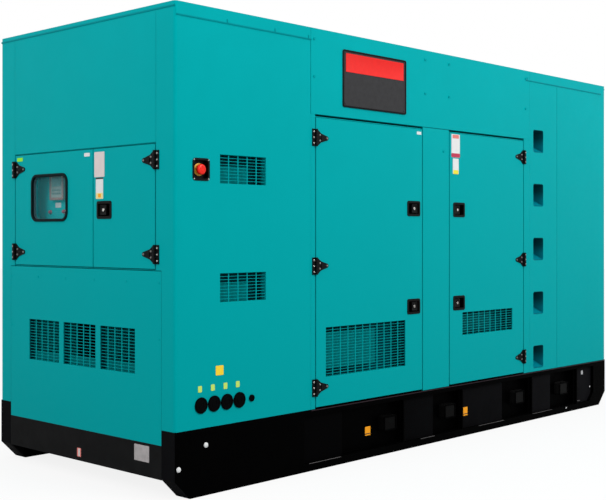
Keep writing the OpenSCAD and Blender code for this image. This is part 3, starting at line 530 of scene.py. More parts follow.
class Paints(Enum):
    """The finishes of this generator."""

    PANEL = PowderCoat("panel_powder_coat", TEAL, lined=True)
    PANEL_PLAIN = PowderCoat("panel_powder_coat_plain", TEAL)
    SCREW_PAINTED = PowderCoat("panel_screw_coat", TEAL, edge=0.0005)
    # darker teal: painted shade on the drip beads under the roof's lip, and the sealant of the joint ticks
    SEAM = PowderCoat("panel_seam_and_shade_coat", srgb(0, 140, 146))
    # darker teal: painted shade inside the step pockets
    POCKET_SHADED = PowderCoat("step_pocket_shaded_coat", srgb(0, 136, 152), pocket_shade=0.34)
    PANEL_SHADED = PowderCoat("panel_powder_coat_shaded", TEAL, lined=True, baffle_shade=0.22)
    # dark teal: painted shade on the hoods behind the grilles
    HOOD_SHADED = PowderCoat("grille_hood_shaded_coat", srgb(0, 78, 86))
    # darker teal: painted shade on the cheeks, thin sheets in the side walls of the grilles' holes
    CHEEK_SHADE = PowderCoat("grille_cheek_shade_coat", srgb(0, 56, 64))
    # lighter teal: painted light on the cabinet seen through the window
    CABINET_LIT = PowderCoat("cabinet_lit_coat", srgb(14, 196, 200))
    # painted light on the faces of the shallow bays and of the control end
    SKID = SkidPaint("skid_black_paint", (0.0003, 0.0003, 0.00035), shallow=24.0, ends=16.0, gloss=0.012)
    # lighter black: painted light on the skid's end plates
    SKID_END_LIT = SkidPaint("skid_end_lit_paint", (0.0065, 0.0065, 0.0068), gloss=0.05)
    # lighter than the rails' black, with painted light that grows towards the far end
    BAY = SkidPaint("skid_boss_far_lit_paint", (0.0014, 0.0014, 0.0014), far_light=8.0, roughness=0.35, gloss=0.02)
    # light grey: painted highlight on the bay sills and the rail angles
    EDGE_HIGHLIGHT = SkidPaint("skid_edge_highlight", srgb(92, 90, 90), gloss=0.1)
    # painted highlight along the deck's flange
    LIP_HIGHLIGHT = SkidPaint("skid_lip_highlight_paint", srgb(46, 36, 41), gloss=0.05)
    HINGE = Metal(
        "hinge_black_casting", (0.0025, 0.0025, 0.003), metallic=0.0, roughness=0.38, grain=0.0003,
        gloss=0.12,
    )
    ZINC = Metal("screw_zinc", (0.78, 0.77, 0.74), roughness=0.25)
    STEEL = Metal("worn_steel", (0.45, 0.44, 0.42), roughness=0.38)
    CHROME = Metal("lock_nickel", (0.82, 0.8, 0.76), roughness=0.16)
    LATCH = Moulding("latch_black_moulding", (0.002, 0.0018, 0.002), roughness=0.34, gloss=0.12)
    RUBBER = Moulding(
        "seal_black_rubber", (0.004, 0.004, 0.0045), roughness=0.55, grain_scale=500, gloss=0.14,
    )
    # lighter bore: painted light inside the window's rubber frame
    FRAME_RUBBER = Moulding(
        "window_frame_rubber", (0.0015, 0.008, 0.010), roughness=0.55, grain_scale=500, gloss=0.1,
        bore=srgb(84, 106, 114),
    )
    BEAD_RUBBER = Moulding(
        "window_bead_rubber", (0.0012, 0.008, 0.010), roughness=0.55, grain_scale=500, gloss=0.1,
    )
    CAP = Moulding("cap_black_rubber", (0.0008, 0.001, 0.0013), roughness=0.5, grain_scale=400, gloss=0.03)
    RED = Moulding("stop_red_moulding", srgb(240, 34, 18), roughness=0.28)
    YELLOW = tint("marking_yellow", 252, 164, 14)
    # lighter yellow: painted light on the disc at the foot of the shaded well
    DISC = tint("stop_disc_lit_yellow", 255, 188, 66)
    AMBER = tint("tag_amber", 250, 212, 50)
    LIME = tint("tag_lime", 196, 228, 104)
    LEMON = tint("marking_lemon", 236, 224, 62)
    CASE = Moulding("controller_grey_moulding", srgb(158, 166, 162), roughness=0.5)
    BEZEL = Moulding("controller_bezel_moulding", srgb(162, 118, 112), roughness=0.5)
    SCREEN = Moulding("controller_screen", srgb(126, 156, 156), roughness=0.15)
    KEY = Moulding("controller_keys", srgb(110, 134, 136), roughness=0.4)
    PLATE = Metal("plate_dark_enamel", srgb(50, 50, 52), metallic=0.0, roughness=0.4, gloss=0.2)
    WHITE = tint("tag_white", 226, 228, 228, 1.03)
    PINK = tint("tag_rose_white", 220, 208, 206)
    ROSE = tint("tag_rose", 228, 128, 122)
    CRIMSON = tint("tag_crimson", 192, 48, 80)
    TAG_RED = Moulding("tag_red", srgb(236, 36, 32), roughness=0.45, mottle=1.05, gloss=0.2)
    GREEN = tint("tag_green", 150, 235, 40)
    GREY_TAG = tint("tag_grey", 176, 178, 180, 1.05)
    CREAM = tint("tag_cream", 240, 226, 150, 1.03)
    GREY = Metal("rating_plate_aluminium", srgb(186, 180, 180), metallic=0.2, roughness=0.45)
    FOAM = Foam("lining_foam", (0.02, 0.02, 0.022))
    # faint teal body: painted light over the shade behind the window
    GLASS = Glass("window_clear_glass", (0.03, 0.38, 0.42))
    ENGINE = Metal(
        "engine_grey_enamel", srgb(172, 174, 166), metallic=0.0, roughness=0.45, grain=0.0006,
        grain_scale=160,
    )
    COVER = Metal(
        "rocker_cover_enamel", srgb(198, 200, 192), metallic=0.0, roughness=0.4, grain=0.0003,
        grain_scale=200,
    )
    RUST = Metal(
        "hot_cast_iron", srgb(104, 74, 60), metallic=0.2, roughness=0.7, grain=0.0008, grain_scale=140,
    )
    LAGGING = Metal(
        "exhaust_lagging", srgb(196, 190, 176), metallic=0.0, roughness=0.85, grain=0.0015, grain_scale=220,
    )
    ALTERNATOR = PowderCoat("alternator_coat", srgb(12, 96, 104), roughness=0.45)
    RADIATOR = Metal("radiator_black_paint", (0.014, 0.014, 0.015), metallic=0.0, roughness=0.5)
    CLADDING = Metal("silencer_heated_steel", srgb(150, 142, 130), roughness=0.45, grain=0.0003)


# ---- Modelling bench ----


class Round(Enum):
    """Direction of a round piece's axis, as the turn from upright."""

    X = (0.0, math.pi / 2, 0.0)
    Y = (math.pi / 2, 0.0, 0.0)
    Z = (0.0, 0.0, 0.0)


class EditBench:
    """A piece open in edit mode, with the cuts and pulls that shape it."""

    def __init__(self, piece: Piece) -> None:
        """Takes the piece to be shaped."""
        self.piece = piece

    def __enter__(self) -> "EditBench":
        """Opens edit mode on this piece alone.

        Returns:
            The bench.
        """
        Shop.only(self.piece)
        bpy.ops.object.mode_set(mode="EDIT")
        return self

    def __exit__(self, *_: object) -> None:
        """Goes back to object mode."""
        bpy.ops.object.mode_set(mode="OBJECT")

    def select(self, mode: str, test: Callable[[object], bool]) -> "EditBench":
        """Selects the faces or the edges that pass a test, and nothing else.

        Args:
            mode: FACE or EDGE.
            test: Says whether a face or an edge is wanted.

        Returns:
            The bench, so that the next cut can follow.
        """
        bpy.ops.mesh.select_mode(type=mode)
        bpy.ops.mesh.select_all(action="DESELECT")
        mesh = bmesh.from_edit_mesh(self.piece.data)
        for part in mesh.faces if mode == "FACE" else mesh.edges:
            if test(part):
                part.select_set(True)
        bmesh.update_edit_mesh(self.piece.data)
        return self

    def all_faces(self) -> "EditBench":
        """Selects every face."""
        return self.select("FACE", lambda f: True)

    def facing(self, axis: str, sign: int = 0) -> "EditBench":
        """Selects the faces that look along an axis: with it for 1, against it for -1, and both for 0."""
        measure = (lambda part: part * sign) if sign else abs
        return self.select("FACE", lambda f: measure(getattr(f.normal, axis)) > 0.9)

    def edges(self, test: Callable[[bmesh.types.BMEdge], bool]) -> "EditBench":
        """Selects the edges that pass a test."""
        return self.select("EDGE", test)

    def deep_edges(self) -> "EditBench":
        """Selects the edges that run along y, into the face that the piece stands in."""
        return self.edges(lambda e: abs((e.verts[0].co - e.verts[1].co).normalized().y) > 0.9)

    def inset(self, width: float, depth: float = 0.0) -> "EditBench":
        """Insets the selected faces and sinks them by a depth."""
        bpy.ops.mesh.inset(thickness=width, depth=-depth)
        return self

    def pull(self, x: float = 0.0, y: float = 0.0, z: float = 0.0) -> "EditBench":
        """Extrudes the selected faces by a distance."""
        bpy.ops.mesh.extrude_region_move(TRANSFORM_OT_translate={"value": (x, y, z)})
        return self

    def resize(self, x: float = 1.0, y: float = 1.0, z: float = 1.0) -> "EditBench":
        """Scales what is selected about its own middle."""
        bpy.ops.transform.resize(value=(x, y, z))
        return self

    def bevel(self, width: float, segments: int = 2) -> "EditBench":
        """Bevels the selected edges."""
        bpy.ops.mesh.bevel(offset=width, segments=segments, affect="EDGES")
        return self


class Shop:
    """Primitives, modifiers and copies, made with the operators that a modeller uses."""

    @staticmethod
    def only(piece: Piece) -> None:
        """Selects a piece and nothing else, and makes it active.

        Args:
            piece: The piece.
        """
        bpy.ops.object.select_all(action="DESELECT")
        piece.select_set(True)
        bpy.context.view_layer.objects.active = piece

    @staticmethod
    def add(operator: Callable, name: str, **settings: object) -> Piece:
        """Adds a primitive and puts its place into its mesh.

        Args:
            operator: The operator that adds it.
            name: Name of the piece.
            settings: The operator's own settings.

        Returns:
            The piece.
        """
        bpy.ops.object.select_all(action="DESELECT")
        operator(**settings)
        piece = bpy.context.object
        piece.name = piece.data.name = name
        Shop.only(piece)
        bpy.ops.object.transform_apply(location=True, rotation=True, scale=True)
        return piece

    @staticmethod
    def block(name: str, low: Sequence[float], high: Sequence[float]) -> Piece:
        """A block between two corners."""
        low, high = Vector(low), Vector(high)
        return Shop.add(
            bpy.ops.mesh.primitive_cube_add, name, size=1, location=(low + high) / 2, scale=high - low,
        )

    @staticmethod
    def slab(name: str, half_w: float, half_h: float, near: float, far: float) -> Piece:
        """A block between two depths, centred on the origin by its half width and half height."""
        return Shop.block(name, (-half_w, near, -half_h), (half_w, far, half_h))

    @staticmethod
    def drum(
        name: str, radius: float, length: float, centre: Sequence[float], axis: Round, sides: int = 24,
    ) -> Piece:
        """A cylinder round a centre, along an axis."""
        cylinder = bpy.ops.mesh.primitive_cylinder_add
        return Shop.add(
            cylinder, name, vertices=sides, radius=radius, depth=length, location=centre, rotation=axis.value,
        )

    @staticmethod
    def ring(name: str, radius: float, tube: float, centre: Sequence[float], axis: Round) -> Piece:
        """A torus round a centre, about an axis."""
        sizes = {"major_radius": radius, "minor_radius": tube, "major_segments": 36, "minor_segments": 10}
        return Shop.add(bpy.ops.mesh.primitive_torus_add, name, location=centre, rotation=axis.value, **sizes)

    @staticmethod
    def rounded(piece: Piece, width: float, segments: int = 2, angle: float = 35) -> Piece:
        """Bevels the piece's sharp edges and shades it smooth by angle.

        Args:
            piece: The piece.
            width: Width of the bevel.
            segments: Steps across it.
            angle: Angle in degrees from which an edge is sharp.

        Returns:
            The piece.
        """
        Shop.only(piece)
        bevel = piece.modifiers.new("edge", "BEVEL")
        bevel.width, bevel.segments, bevel.limit_method = width, segments, "ANGLE"
        bevel.angle_limit = math.radians(angle)
        bpy.ops.object.modifier_apply(modifier=bevel.name)
        bpy.ops.object.shade_smooth_by_angle(angle=math.radians(40))
        return piece

    @staticmethod
    def smooth(piece: Piece, angle: float = 180) -> Piece:
        """Shades a piece smooth.

        Args:
            piece: The piece.
            angle: Largest angle between faces that stays smooth, in degrees; 180 is all over.

        Returns:
            The piece.
        """
        Shop.only(piece)
        if angle < 180:
            bpy.ops.object.shade_smooth_by_angle(angle=math.radians(angle))
        else:
            bpy.ops.object.shade_smooth()
        return piece

    @staticmethod
    def joined(name: str, pieces: Sequence[Piece]) -> Piece:
        """Joins pieces into one.

        Args:
            name: Name of the joined piece.
            pieces: The pieces, used up.

        Returns:
            The joined piece.
        """
        Shop.only(pieces[0])
        for piece in pieces:
            piece.select_set(True)
        if len(pieces) > 1:
            bpy.ops.object.join()
        made = bpy.context.view_layer.objects.active
        made.name = made.data.name = name
        return made

    @staticmethod
    def copies(name: str, piece: Piece, places: Sequence[Matrix]) -> Piece:
        """Sets a copy of a modelled piece at each place and joins them.

        Args:
            name: Name of the joined piece.
            piece: The piece, modelled round the origin; it is used up.
            places: Where each copy goes.

        Returns:
            The joined piece.
        """
        twins = []
        for place in places:
            twin = piece.copy()
            twin.data = piece.data.copy()
            twin.data.transform(place)
            bpy.context.collection.objects.link(twin)
            twins.append(twin)
        bpy.data.objects.remove(piece, do_unlink=True)
        return Shop.joined(name, twins)

    @staticmethod
    def hose(name: str, points: Sequence[Sequence[float]], radius: float) -> Piece:
        """A smooth hose or pipe.

        Args:
            name: Name of the piece.
            points: Points that it runs through.
            radius: Its radius.

        Returns:
            Its mesh.
        """
        curve = bpy.data.curves.new(name, "CURVE")
        curve.dimensions, curve.bevel_depth, curve.bevel_resolution = "3D", radius, 4
        curve.use_fill_caps = True
        curve.resolution_u = 8
        spline = curve.splines.new("BEZIER")
        spline.bezier_points.add(len(points) - 1)
        for knot, point in zip(spline.bezier_points, points):
            knot.co = point
            knot.handle_left_type = knot.handle_right_type = "AUTO"
        piece = bpy.data.objects.new(name, curve)
        bpy.context.collection.objects.link(piece)
        Shop.only(piece)
        bpy.ops.object.convert(target="MESH")
        return Shop.smooth(bpy.context.object)


class SubAssembly:
    """A group of pieces that is modelled, dressed and reported together."""

    def keep(
        self, piece: Piece, slot: str, paint: Paints, body: str = ROOT, replaces: Sequence[str] = (),
    ) -> None:
        """Dresses a finished piece and ties it to its body.

        Args:
            piece: The finished piece.
            slot: Material slot of the record; not used.
            paint: Its finish.
            body: CAD body that it moves with.
            replaces: CAD nodes that it stands for.
        """
        piece.data.materials.clear()
        piece.data.materials.append(paint.value.material())
        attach(piece, body)
        if replaces:
            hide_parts(*replaces)
        LOG.info("%s: %d faces on %s", piece.name, len(piece.data.polygons), body)

    def fit(
        self, name: str, piece: Piece, places: Sequence[Matrix], slot: str, paint: Paints, body: str = ROOT,
        replaces: Sequence[str] = (),
    ) -> None:
        """Sets a copy of a modelled piece at each place and keeps them as one.

        Args:
            name: Name of the finished piece.
            piece: The piece, modelled round the origin.
            places: Where each copy goes.
            slot: Material slot of the record; passed on to keep, which does not use it.
            paint: Its finish.
            body: CAD body that it moves with.
            replaces: CAD nodes that it stands for.
        """
        self.keep(Shop.copies(name, piece, places), slot, paint, body, replaces)

    def build(self) -> None:
        """Makes every piece of the group."""
        raise NotImplementedError


# ---- CAD nodes ----


@dataclass
class FrameDressing(SubAssembly):
    """Finishes of the CAD nodes, by the record's material slot and by node where one differs."""

    by_slot: dict[str, Paints] = field(default_factory=lambda: {
        "panel_paint": Paints.PANEL,
        "skid_paint": Paints.SKID,
        "controller_case": Paints.CASE,
        "black_plastic": Paints.LATCH,
        "red_button": Paints.RED,
        "cap_rubber": Paints.CAP,
        "plate_metal": Paints.PLATE,
        "hinge_iron": Paints.HINGE,
        "engine_iron": Paints.ENGINE,
        "alternator_paint": Paints.ALTERNATOR,
        "radiator_metal": Paints.RADIATOR,
        "silencer_steel": Paints.CLADDING,
        "seal_rubber": Paints.RUBBER,
        "window_glass": Paints.GLASS,
    })
    by_node: dict[str, Paints] = field(default_factory=lambda: {
        "step_pockets": Paints.POCKET_SHADED,
        "control_cabinet": Paints.CABINET_LIT,
        "window_frame": Paints.FRAME_RUBBER,
        "front_door_2": Paints.PANEL_SHADED,
        "rear_door_2": Paints.PANEL_SHADED,
        "skid_end_plates": Paints.SKID_END_LIT,
        "skid_bosses": Paints.BAY,
    })

    def build(self) -> None:
        """Gives each CAD node its material."""
        for entry in frame["record"]["subparts"]:
            node = frame["nodes"][entry["node"]]
            paint = self.by_node.get(entry["node"], self.by_slot[entry["material_slot"]])
            node.data.materials.clear()
            node.data.materials.append(paint.value.material())
            LOG.info("%s: finish %s", entry["node"], paint.value.name)


# ---- Canopy trim ----


class Drive(Enum):
    """What the head of a screw or rivet carries."""

    HEX = 6
    PLAIN = 0


def screw(radius: float, height: float, drive: Drive = Drive.HEX, sides: int = 14) -> Piece:
    """A domed screw or rivet head, standing out along -y from the origin.

    Args:
        radius: Radius of the head.
        height: How far it stands out.
        drive: Socket in the head, if any.
        sides: Corners of the head's outline.

    Returns:
        The head.
    """
    head = Shop.drum("screw", radius, height, (0, -height / 2, 0), Round.Y, sides)
    with EditBench(head) as bench:
        bench.facing("y", -1).resize(0.86, 1, 0.86)
        bench.inset(radius * 0.22).pull(y=-height * 0.22).resize(0.9, 1, 0.9)
        if drive is Drive.HEX:
            bench.inset(radius * 0.25).pull(y=height * 0.5)
    return Shop.smooth(head, 50)


def hoop(
    name: str, width: float, height: float, corner: float, band: float, near: float, far: float,
    segments: int = 6,
) -> Piece:
    """A rectangular ring with rounded corners, standing in a face and centred on the origin.

    Args:
        name: Name of the piece.
        width: Outer width along x.
        height: Outer height along z.
        corner: Outer corner radius.
        band: Width of the ring's band.
        near: Depth of its outer side.
        far: Depth of its inner side.
        segments: Steps round each corner.

    Returns:
        The ring.
    """
    ring = Shop.slab(name, width / 2, height / 2, near, far)
    with EditBench(ring) as bench:
        bench.deep_edges().bevel(corner, segments)
        bench.facing("y").inset(band)
        bpy.ops.mesh.bridge_edge_loops()
    return ring


@dataclass(frozen=True)
class Leaf:
    """A hinged door: its CAD nodes, its face, and which way it lies from its pins along that face."""

    body: str
    face: Face
    side: int
    hinge_heights: Numbers

    def pin(self) -> float:
        """Position of the hinge pins along the face."""
        near, far, _, _ = span(self.body, self.face)
        return near - DOOR_GAP / 2 if self.side > 0 else far + DOOR_GAP / 2

    def places(self, out: float) -> list[Matrix]:
        """Where its hinges are, at a distance in front of the face."""
        return [self.face.place(self.pin(), -out, height, self.side) for height in self.hinge_heights]


DOOR_GAP = 0.007
SIDE_HINGES = tuple(DECK + up for up in (0.110, 0.744, 1.413))
END_FOOT = DECK + 0.740
END_HINGES = tuple(END_FOOT + up for up in (0.075, 0.517))
LEAVES = (
    Leaf("front_door_1", FRONT, 1, SIDE_HINGES),
    Leaf("front_door_2", FRONT, -1, SIDE_HINGES),
    Leaf("rear_door_1", REAR, 1, SIDE_HINGES),
    Leaf("rear_door_2", REAR, -1, SIDE_HINGES),
    Leaf("latch_door", CONTROL_END, 1, END_HINGES),
    Leaf("window_door", CONTROL_END, -1, END_HINGES),
)


@dataclass
class HingeTrim(SubAssembly):
    """Screws, raised ribs and pin caps of the hinges."""

    leaf_t: float = 0.004
    screw_r: float = 0.0052
    screw_h: float = 0.003
    frame_screws: Numbers = (-0.030, 0.0, 0.030)
    frame_screw_x: float = -0.0175
    corner_screws: Pairs = ((0.028, -0.0145), (0.028, 0.0145), (0.084, 0.0))
    rib_foot: float = 0.038
    rib_tip: float = 0.073
    rib_half: float = 0.013
    rib_h: float = 0.0035
    pin_out: float = 0.008
    pin_half: float = 0.0449
    pin_r: float = 0.0048
    pin_h: float = 0.003

    def build(self) -> None:
        """The fixed screws, the heads of the pins, and the ribs and screws of each door's leaves."""
        fixed = [
            place @ move(self.frame_screw_x, 0, up)
            for leaf in LEAVES for place in leaf.places(self.leaf_t) for up in self.frame_screws
        ]
        self.fit("fixed_hinge_screws", screw(self.screw_r, self.screw_h), fixed, "hinge_iron", Paints.ZINC)
        ends = [
            place @ move(0, 0, end * self.pin_half) @ Matrix.Rotation(math.radians(90) * end, 4, "X")
            for leaf in LEAVES for place in leaf.places(self.pin_out) for end in (1, -1)
        ]
        self.fit(
            "hinge_pin_heads", screw(self.pin_r, self.pin_h, Drive.PLAIN), ends, "hinge_iron", Paints.HINGE,
        )
        for leaf in LEAVES:
            places = leaf.places(self.leaf_t)
            self.fit(f"{leaf.body}_hinge_ribs", self.rib(), places, "hinge_iron", Paints.HINGE, leaf.body)
            corners = [place @ move(x, 0, z) for place in places for x, z in self.corner_screws]
            head = screw(self.screw_r, self.screw_h)
            self.fit(f"{leaf.body}_hinge_screws", head, corners, "hinge_iron", Paints.STEEL, leaf.body)


    def rib(self) -> Piece:
        """A raised three-sided rib with a sunk middle, pointing along x.

        Returns:
            The rib, at the origin.
        """
        rib = Shop.drum("rib", 1, self.rib_h, (0, -self.rib_h / 2, 0), Round.Y, 3)
        with EditBench(rib) as bench:
            bench.all_faces()
            mesh = bmesh.from_edit_mesh(rib.data)
            for corner in mesh.verts:
                apex = corner.co.z > 0.9
                side = math.copysign(1, corner.co.x)
                foot = (self.rib_foot, side * self.rib_half)
                corner.co.x, corner.co.z = (self.rib_tip, 0) if apex else foot
            bmesh.update_edit_mesh(rib.data)
            bpy.ops.mesh.normals_make_consistent(inside=False)
            bench.facing("y", -1).inset(0.0028).inset(0.001, 0.0018)
        return Shop.rounded(rib, 0.0007, 1)


@dataclass
class LatchPaddles(SubAssembly):
    """Pull paddles with their locks, in the latch cases."""

    plate_h: float = 0.051
    pin_r: float = 0.0025
    lip_w: float = 0.009
    lip_d: float = 0.004
    lip_in: float = 0.004
    pin_in: float = 0.0045
    dish: float = 0.0014
    lock_r: float = 0.0085
    lock_x: float = -0.004

    def build(self) -> None:
        """A detailed paddle for each CAD one."""
        for side, face in SIDES.items():
            for door, free in ((1, 1), (2, -1)):
                for level in ("upper", "lower"):
                    self.paddle(f"{side}_door_{door}_{level}_paddle", face, free)
        self.paddle("latch_door_paddle", CONTROL_END, 1)

    def paddle(self, node: str, face: Face, free: int) -> None:
        """A dished paddle on its pin, and its bright key cylinder with a slot.

        Args:
            node: CAD node, which is also its body.
            face: Face that it lies in.
            free: 1 where its pin side is towards the face's far end.
        """
        left, right, low, high = span(node, face)
        near, far = sorted((corner - face.origin).dot(face.inward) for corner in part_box(node))
        half_w, half_h = (right - left) / 2, self.plate_h / 2
        plate = Shop.slab("plate", half_w, half_h, near, far)
        with EditBench(plate) as bench:
            bench.facing("y", -1).inset(0.005).inset(0.0012, self.dish)
        lip = Shop.block(
            "lip", (-half_w, far - 0.001, -half_h + self.lip_in),
            (self.lip_w - half_w, far + self.lip_d, half_h - self.lip_in),
        )
        pin = Shop.drum(
            "pin", self.pin_r, high - low, (half_w - self.pin_in, (near + far) / 2, 0), Round.Z, 12,
        )
        bezel = Shop.drum("bezel", self.lock_r + 0.003, 0.003, (self.lock_x, near + 0.001, 0), Round.Y, 28)
        with EditBench(bezel) as bench:
            bench.facing("y", -1).inset(0.0022).pull(y=0.001)
        place = face.place((left + right) / 2, 0, (low + high) / 2, free)
        parts = [
            Shop.rounded(plate, 0.0011, 2), Shop.rounded(lip, 0.0014, 2), pin, Shop.rounded(bezel, 0.0004, 1),
        ]
        body = Shop.joined(node + "_plate", parts)
        self.fit(node + "_plate", body, [place], "black_plastic", Paints.LATCH, node, replaces=(node,))
        plug = Shop.drum("plug", self.lock_r, 0.0042, (self.lock_x, near + 0.0006, 0), Round.Y, 28)
        with EditBench(plug) as bench:
            bench.facing("y", -1).inset(0.0012).pull(y=-0.0006).inset(0.0028)
            bench.resize(0.42, 1, 1.5).pull(y=0.0024)
        self.fit(node + "_lock", Shop.rounded(plug, 0.0003, 1), [place], "hinge_iron", Paints.CHROME, node)


@dataclass
class Fixings(SubAssembly):
    """Painted screws and bolts that hold the fixed panels."""

    bolt_r: float = 0.009
    bolt_h: float = 0.004
    header_bolts: Numbers = (0.939, 1.893, 2.128, 2.980)
    header_heights: Numbers = (2.050, 2.246)
    post_bolt: Pair = (2.073, 1.721)
    screw_r: float = 0.0065
    screw_h: float = 0.0014
    end_screws: Numbers = (0.116, 0.362, 0.621, 0.865, 1.115, 1.371)
    end_screw_z: float = 1.002
    edge_screw_z: float = 0.738
    band_rivets: Numbers = (0.329, 0.656, 0.920, 3.180, 3.520, 3.860)
    band_z: float = 2.240
    rivet_r: float = 0.0035
    rivet_h: float = 0.0012

    def build(self) -> None:
        """Bolts on the headers, screws on the end panels and rivets along the roof lip."""
        spots = [(s, z) for s in self.header_bolts for z in self.header_heights] + [self.post_bolt]
        self.row("header_bolts", screw(self.bolt_r, self.bolt_h), (FRONT, REAR), spots)
        spots = [(w, self.end_screw_z) for w in self.end_screws]
        spots += [(w, self.edge_screw_z) for w in (self.end_screws[0], self.end_screws[-1])]
        self.row("end_panel_screws", screw(self.screw_r, self.screw_h), (CONTROL_END, RADIATOR_END), spots)
        spots = [(s, self.band_z) for s in self.band_rivets]
        self.row("roof_lip_rivets", screw(self.rivet_r, self.rivet_h, Drive.PLAIN), (FRONT, REAR), spots)

    def row(self, name: str, head: Piece, faces: Sequence[Face], spots: Sequence[Pair]) -> None:
        """Painted heads at the same spots on each of some faces."""
        places = [face.place(u, 0, z) for face in faces for u, z in spots]
        self.fit(name, head, places, "panel_paint", Paints.SCREW_PAINTED)


@dataclass(frozen=True)
class Tag:
    """A blank tag: its middle, size, colour, body and depth, and how many tags it lies on."""

    name: str
    u: float
    z: float
    width: float
    height: float
    paint: Paints
    body: str = ROOT
    depth: float = 0.0
    over: int = 0


@dataclass
class BlankTags(SubAssembly):
    """Plain coloured tags without words or signs."""

    thickness: float = 0.0009
    overlay: float = 0.0004

    def build(self) -> None:
        """Makes each tag on its face, those that lie on another one after it."""
        for tag in (
            Tag("leaf_tag_upper", 0.576, 1.572, 0.083, 0.125, Paints.PINK, "latch_door"),
            Tag("leaf_tag_lower", 0.575, 1.454, 0.060, 0.105, Paints.WHITE, "latch_door"),
            Tag("leaf_tag_lower_head", 0.575, 1.503, 0.060, 0.007, Paints.PLATE, "latch_door", over=1),
            Tag("leaf_tag_lower_foot", 0.575, 1.417, 0.056, 0.028, Paints.CREAM, "latch_door", over=1),
            Tag("leaf_tag_lower_mark", 0.574, 1.418, 0.022, 0.018, Paints.YELLOW, "latch_door", over=2),
            Tag("window_leaf_tag", 0.679, 1.625, 0.048, 0.018, Paints.WHITE, "window_door"),
            Tag("window_leaf_green_tag", 1.288, 1.628, 0.054, 0.020, Paints.GREEN, "window_door"),
            Tag("end_plate_tag", 0.747, 0.128, 0.033, 0.044, Paints.ROSE),
            Tag("end_plate_tag_middle", 0.746, 0.128, 0.015, 0.038, Paints.PINK, over=1),
            Tag("rating_plate", 0.243, 0.193, 0.112, 0.077, Paints.GREY),
        ):
            self.tag(CONTROL_END, tag)
        for side, face in SIDES.items():
            for tag in self.side_tags(side):
                self.tag(face, tag)

    def side_tags(self, side: str) -> list[Tag]:
        """The tags of one long side.

        Args:
            side: Name of the side.

        Returns:
            The tags, those that lie on another one after it.
        """
        first, second = f"{side}_door_1", f"{side}_door_2"
        found = [
            Tag(f"{first}_tag", 1.833, 1.813, 0.041, 0.017, Paints.WHITE, first),
            Tag(f"{second}_tag_upper", 2.196, 1.760, 0.086, 0.140, Paints.WHITE, second),
            Tag(f"{second}_tag_upper_head", 2.196, 1.816, 0.064, 0.022, Paints.ROSE, second, over=1),
            Tag(f"{second}_tag_upper_foot", 2.196, 1.703, 0.086, 0.024, Paints.CRIMSON, second, over=1),
            Tag(f"{second}_tag_lower", 2.197, 1.637, 0.060, 0.094, Paints.WHITE, second),
            Tag(f"{second}_tag_lower_foot", 2.197, 1.602, 0.052, 0.024, Paints.LEMON, second, over=1),
            Tag(f"{side}_rail_tag_1", 1.436, 0.133, 0.046, 0.050, Paints.YELLOW, depth=DEEP_BAY),
            Tag(f"{side}_rail_tag_1_line", 1.436, 0.118, 0.046, 0.005, Paints.PLATE, depth=DEEP_BAY, over=1),
            Tag(f"{side}_rail_tag_2", 2.328, 0.141, 0.046, 0.052, Paints.YELLOW, depth=SHALLOW_BAY),
            Tag(
                f"{side}_rail_tag_2_line", 2.328, 0.126, 0.046, 0.005, Paints.PLATE, depth=SHALLOW_BAY,
                over=1,
            ),
            Tag(f"{side}_rail_sticker", 3.757, 0.248, 0.026, 0.028, Paints.GREY_TAG, depth=SHALLOW_BAY),
        ]
        if side == "front":
            found.append(Tag("entry_tag", 0.275, 0.580, 0.050, 0.046, Paints.AMBER))
            found += [
                Tag(f"entry_mark_{k + 1}", 0.151 + 0.0807 * k, 0.5025, 0.024, 0.030, Paints.LIME)
                for k in range(4)
            ]
        return found

    def tag(self, face: Face, tag: Tag) -> None:
        """Makes one tag, a thin plate with rounded corners.

        Args:
            face: Face that it lies on.
            tag: The tag.
        """
        near = -self.thickness - tag.over * self.overlay
        half_w, half_h = tag.width / 2, tag.height / 2
        plate = Shop.slab(tag.name, half_w, half_h, near, 0)
        corner = min(0.004, tag.width / 6, tag.height / 6)
        with EditBench(plate) as bench:
            bench.deep_edges().bevel(corner, 3)
            bench.facing("y", -1).inset(0.0005).pull(y=-0.0001)
        self.fit(tag.name, plate, [face.place(tag.u, tag.depth, tag.z)], "plate_metal", tag.paint, tag.body)


@dataclass
class NamePlates(SubAssembly):
    """Rim, red band and rivets of the plain name plates over the first door."""

    rim: float = 0.009
    rim_h: float = 0.0025
    band_top: float = 0.018
    band_h: float = 0.100
    margin: float = 0.024
    rivet_r: float = 0.006
    rivet_in: float = 0.02

    def build(self) -> None:
        """Rim, red band in the upper third and four rivets on the plate of each long side."""
        near, far, low, high = span("name_plates", FRONT)
        half_w, half_h = (far - near) / 2, (high - low) / 2
        u, z = (near + far) / 2, (low + high) / 2
        depth = (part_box("name_plates")[0] - FRONT.origin).dot(FORWARD)
        for side, face in SIDES.items():
            rim = Shop.rounded(
                hoop("rim", far - near, high - low, 0.012, self.rim, -self.rim_h, 0.0005), 0.0008,
            )
            self.fit(f"{side}_name_plate_rim", rim, [face.place(u, depth, z)], "plate_metal", Paints.HINGE)
            band = Shop.slab("band", half_w - self.margin, self.band_h / 2, -0.0012, 0.0004)
            with EditBench(band) as bench:
                bench.facing("y", -1).inset(0.004).inset(0.001, 0.0004)
            place = face.place(u, depth, z + half_h - self.band_top - self.band_h / 2)
            self.fit(
                f"{side}_name_plate_band", Shop.rounded(band, 0.0003, 1), [place], "plate_metal",
                Paints.TAG_RED,
            )
            across, up = half_w - self.rivet_in, half_h - self.rivet_in
            spots = [face.place(u + i * across, depth, z + k * up) for i in (-1, 1) for k in (-1, 1)]
            rivet = screw(self.rivet_r, 0.002, Drive.PLAIN)
            self.fit(f"{side}_name_plate_rivets", rivet, spots, "plate_metal", Paints.PLATE)


# ---- Fittings ----


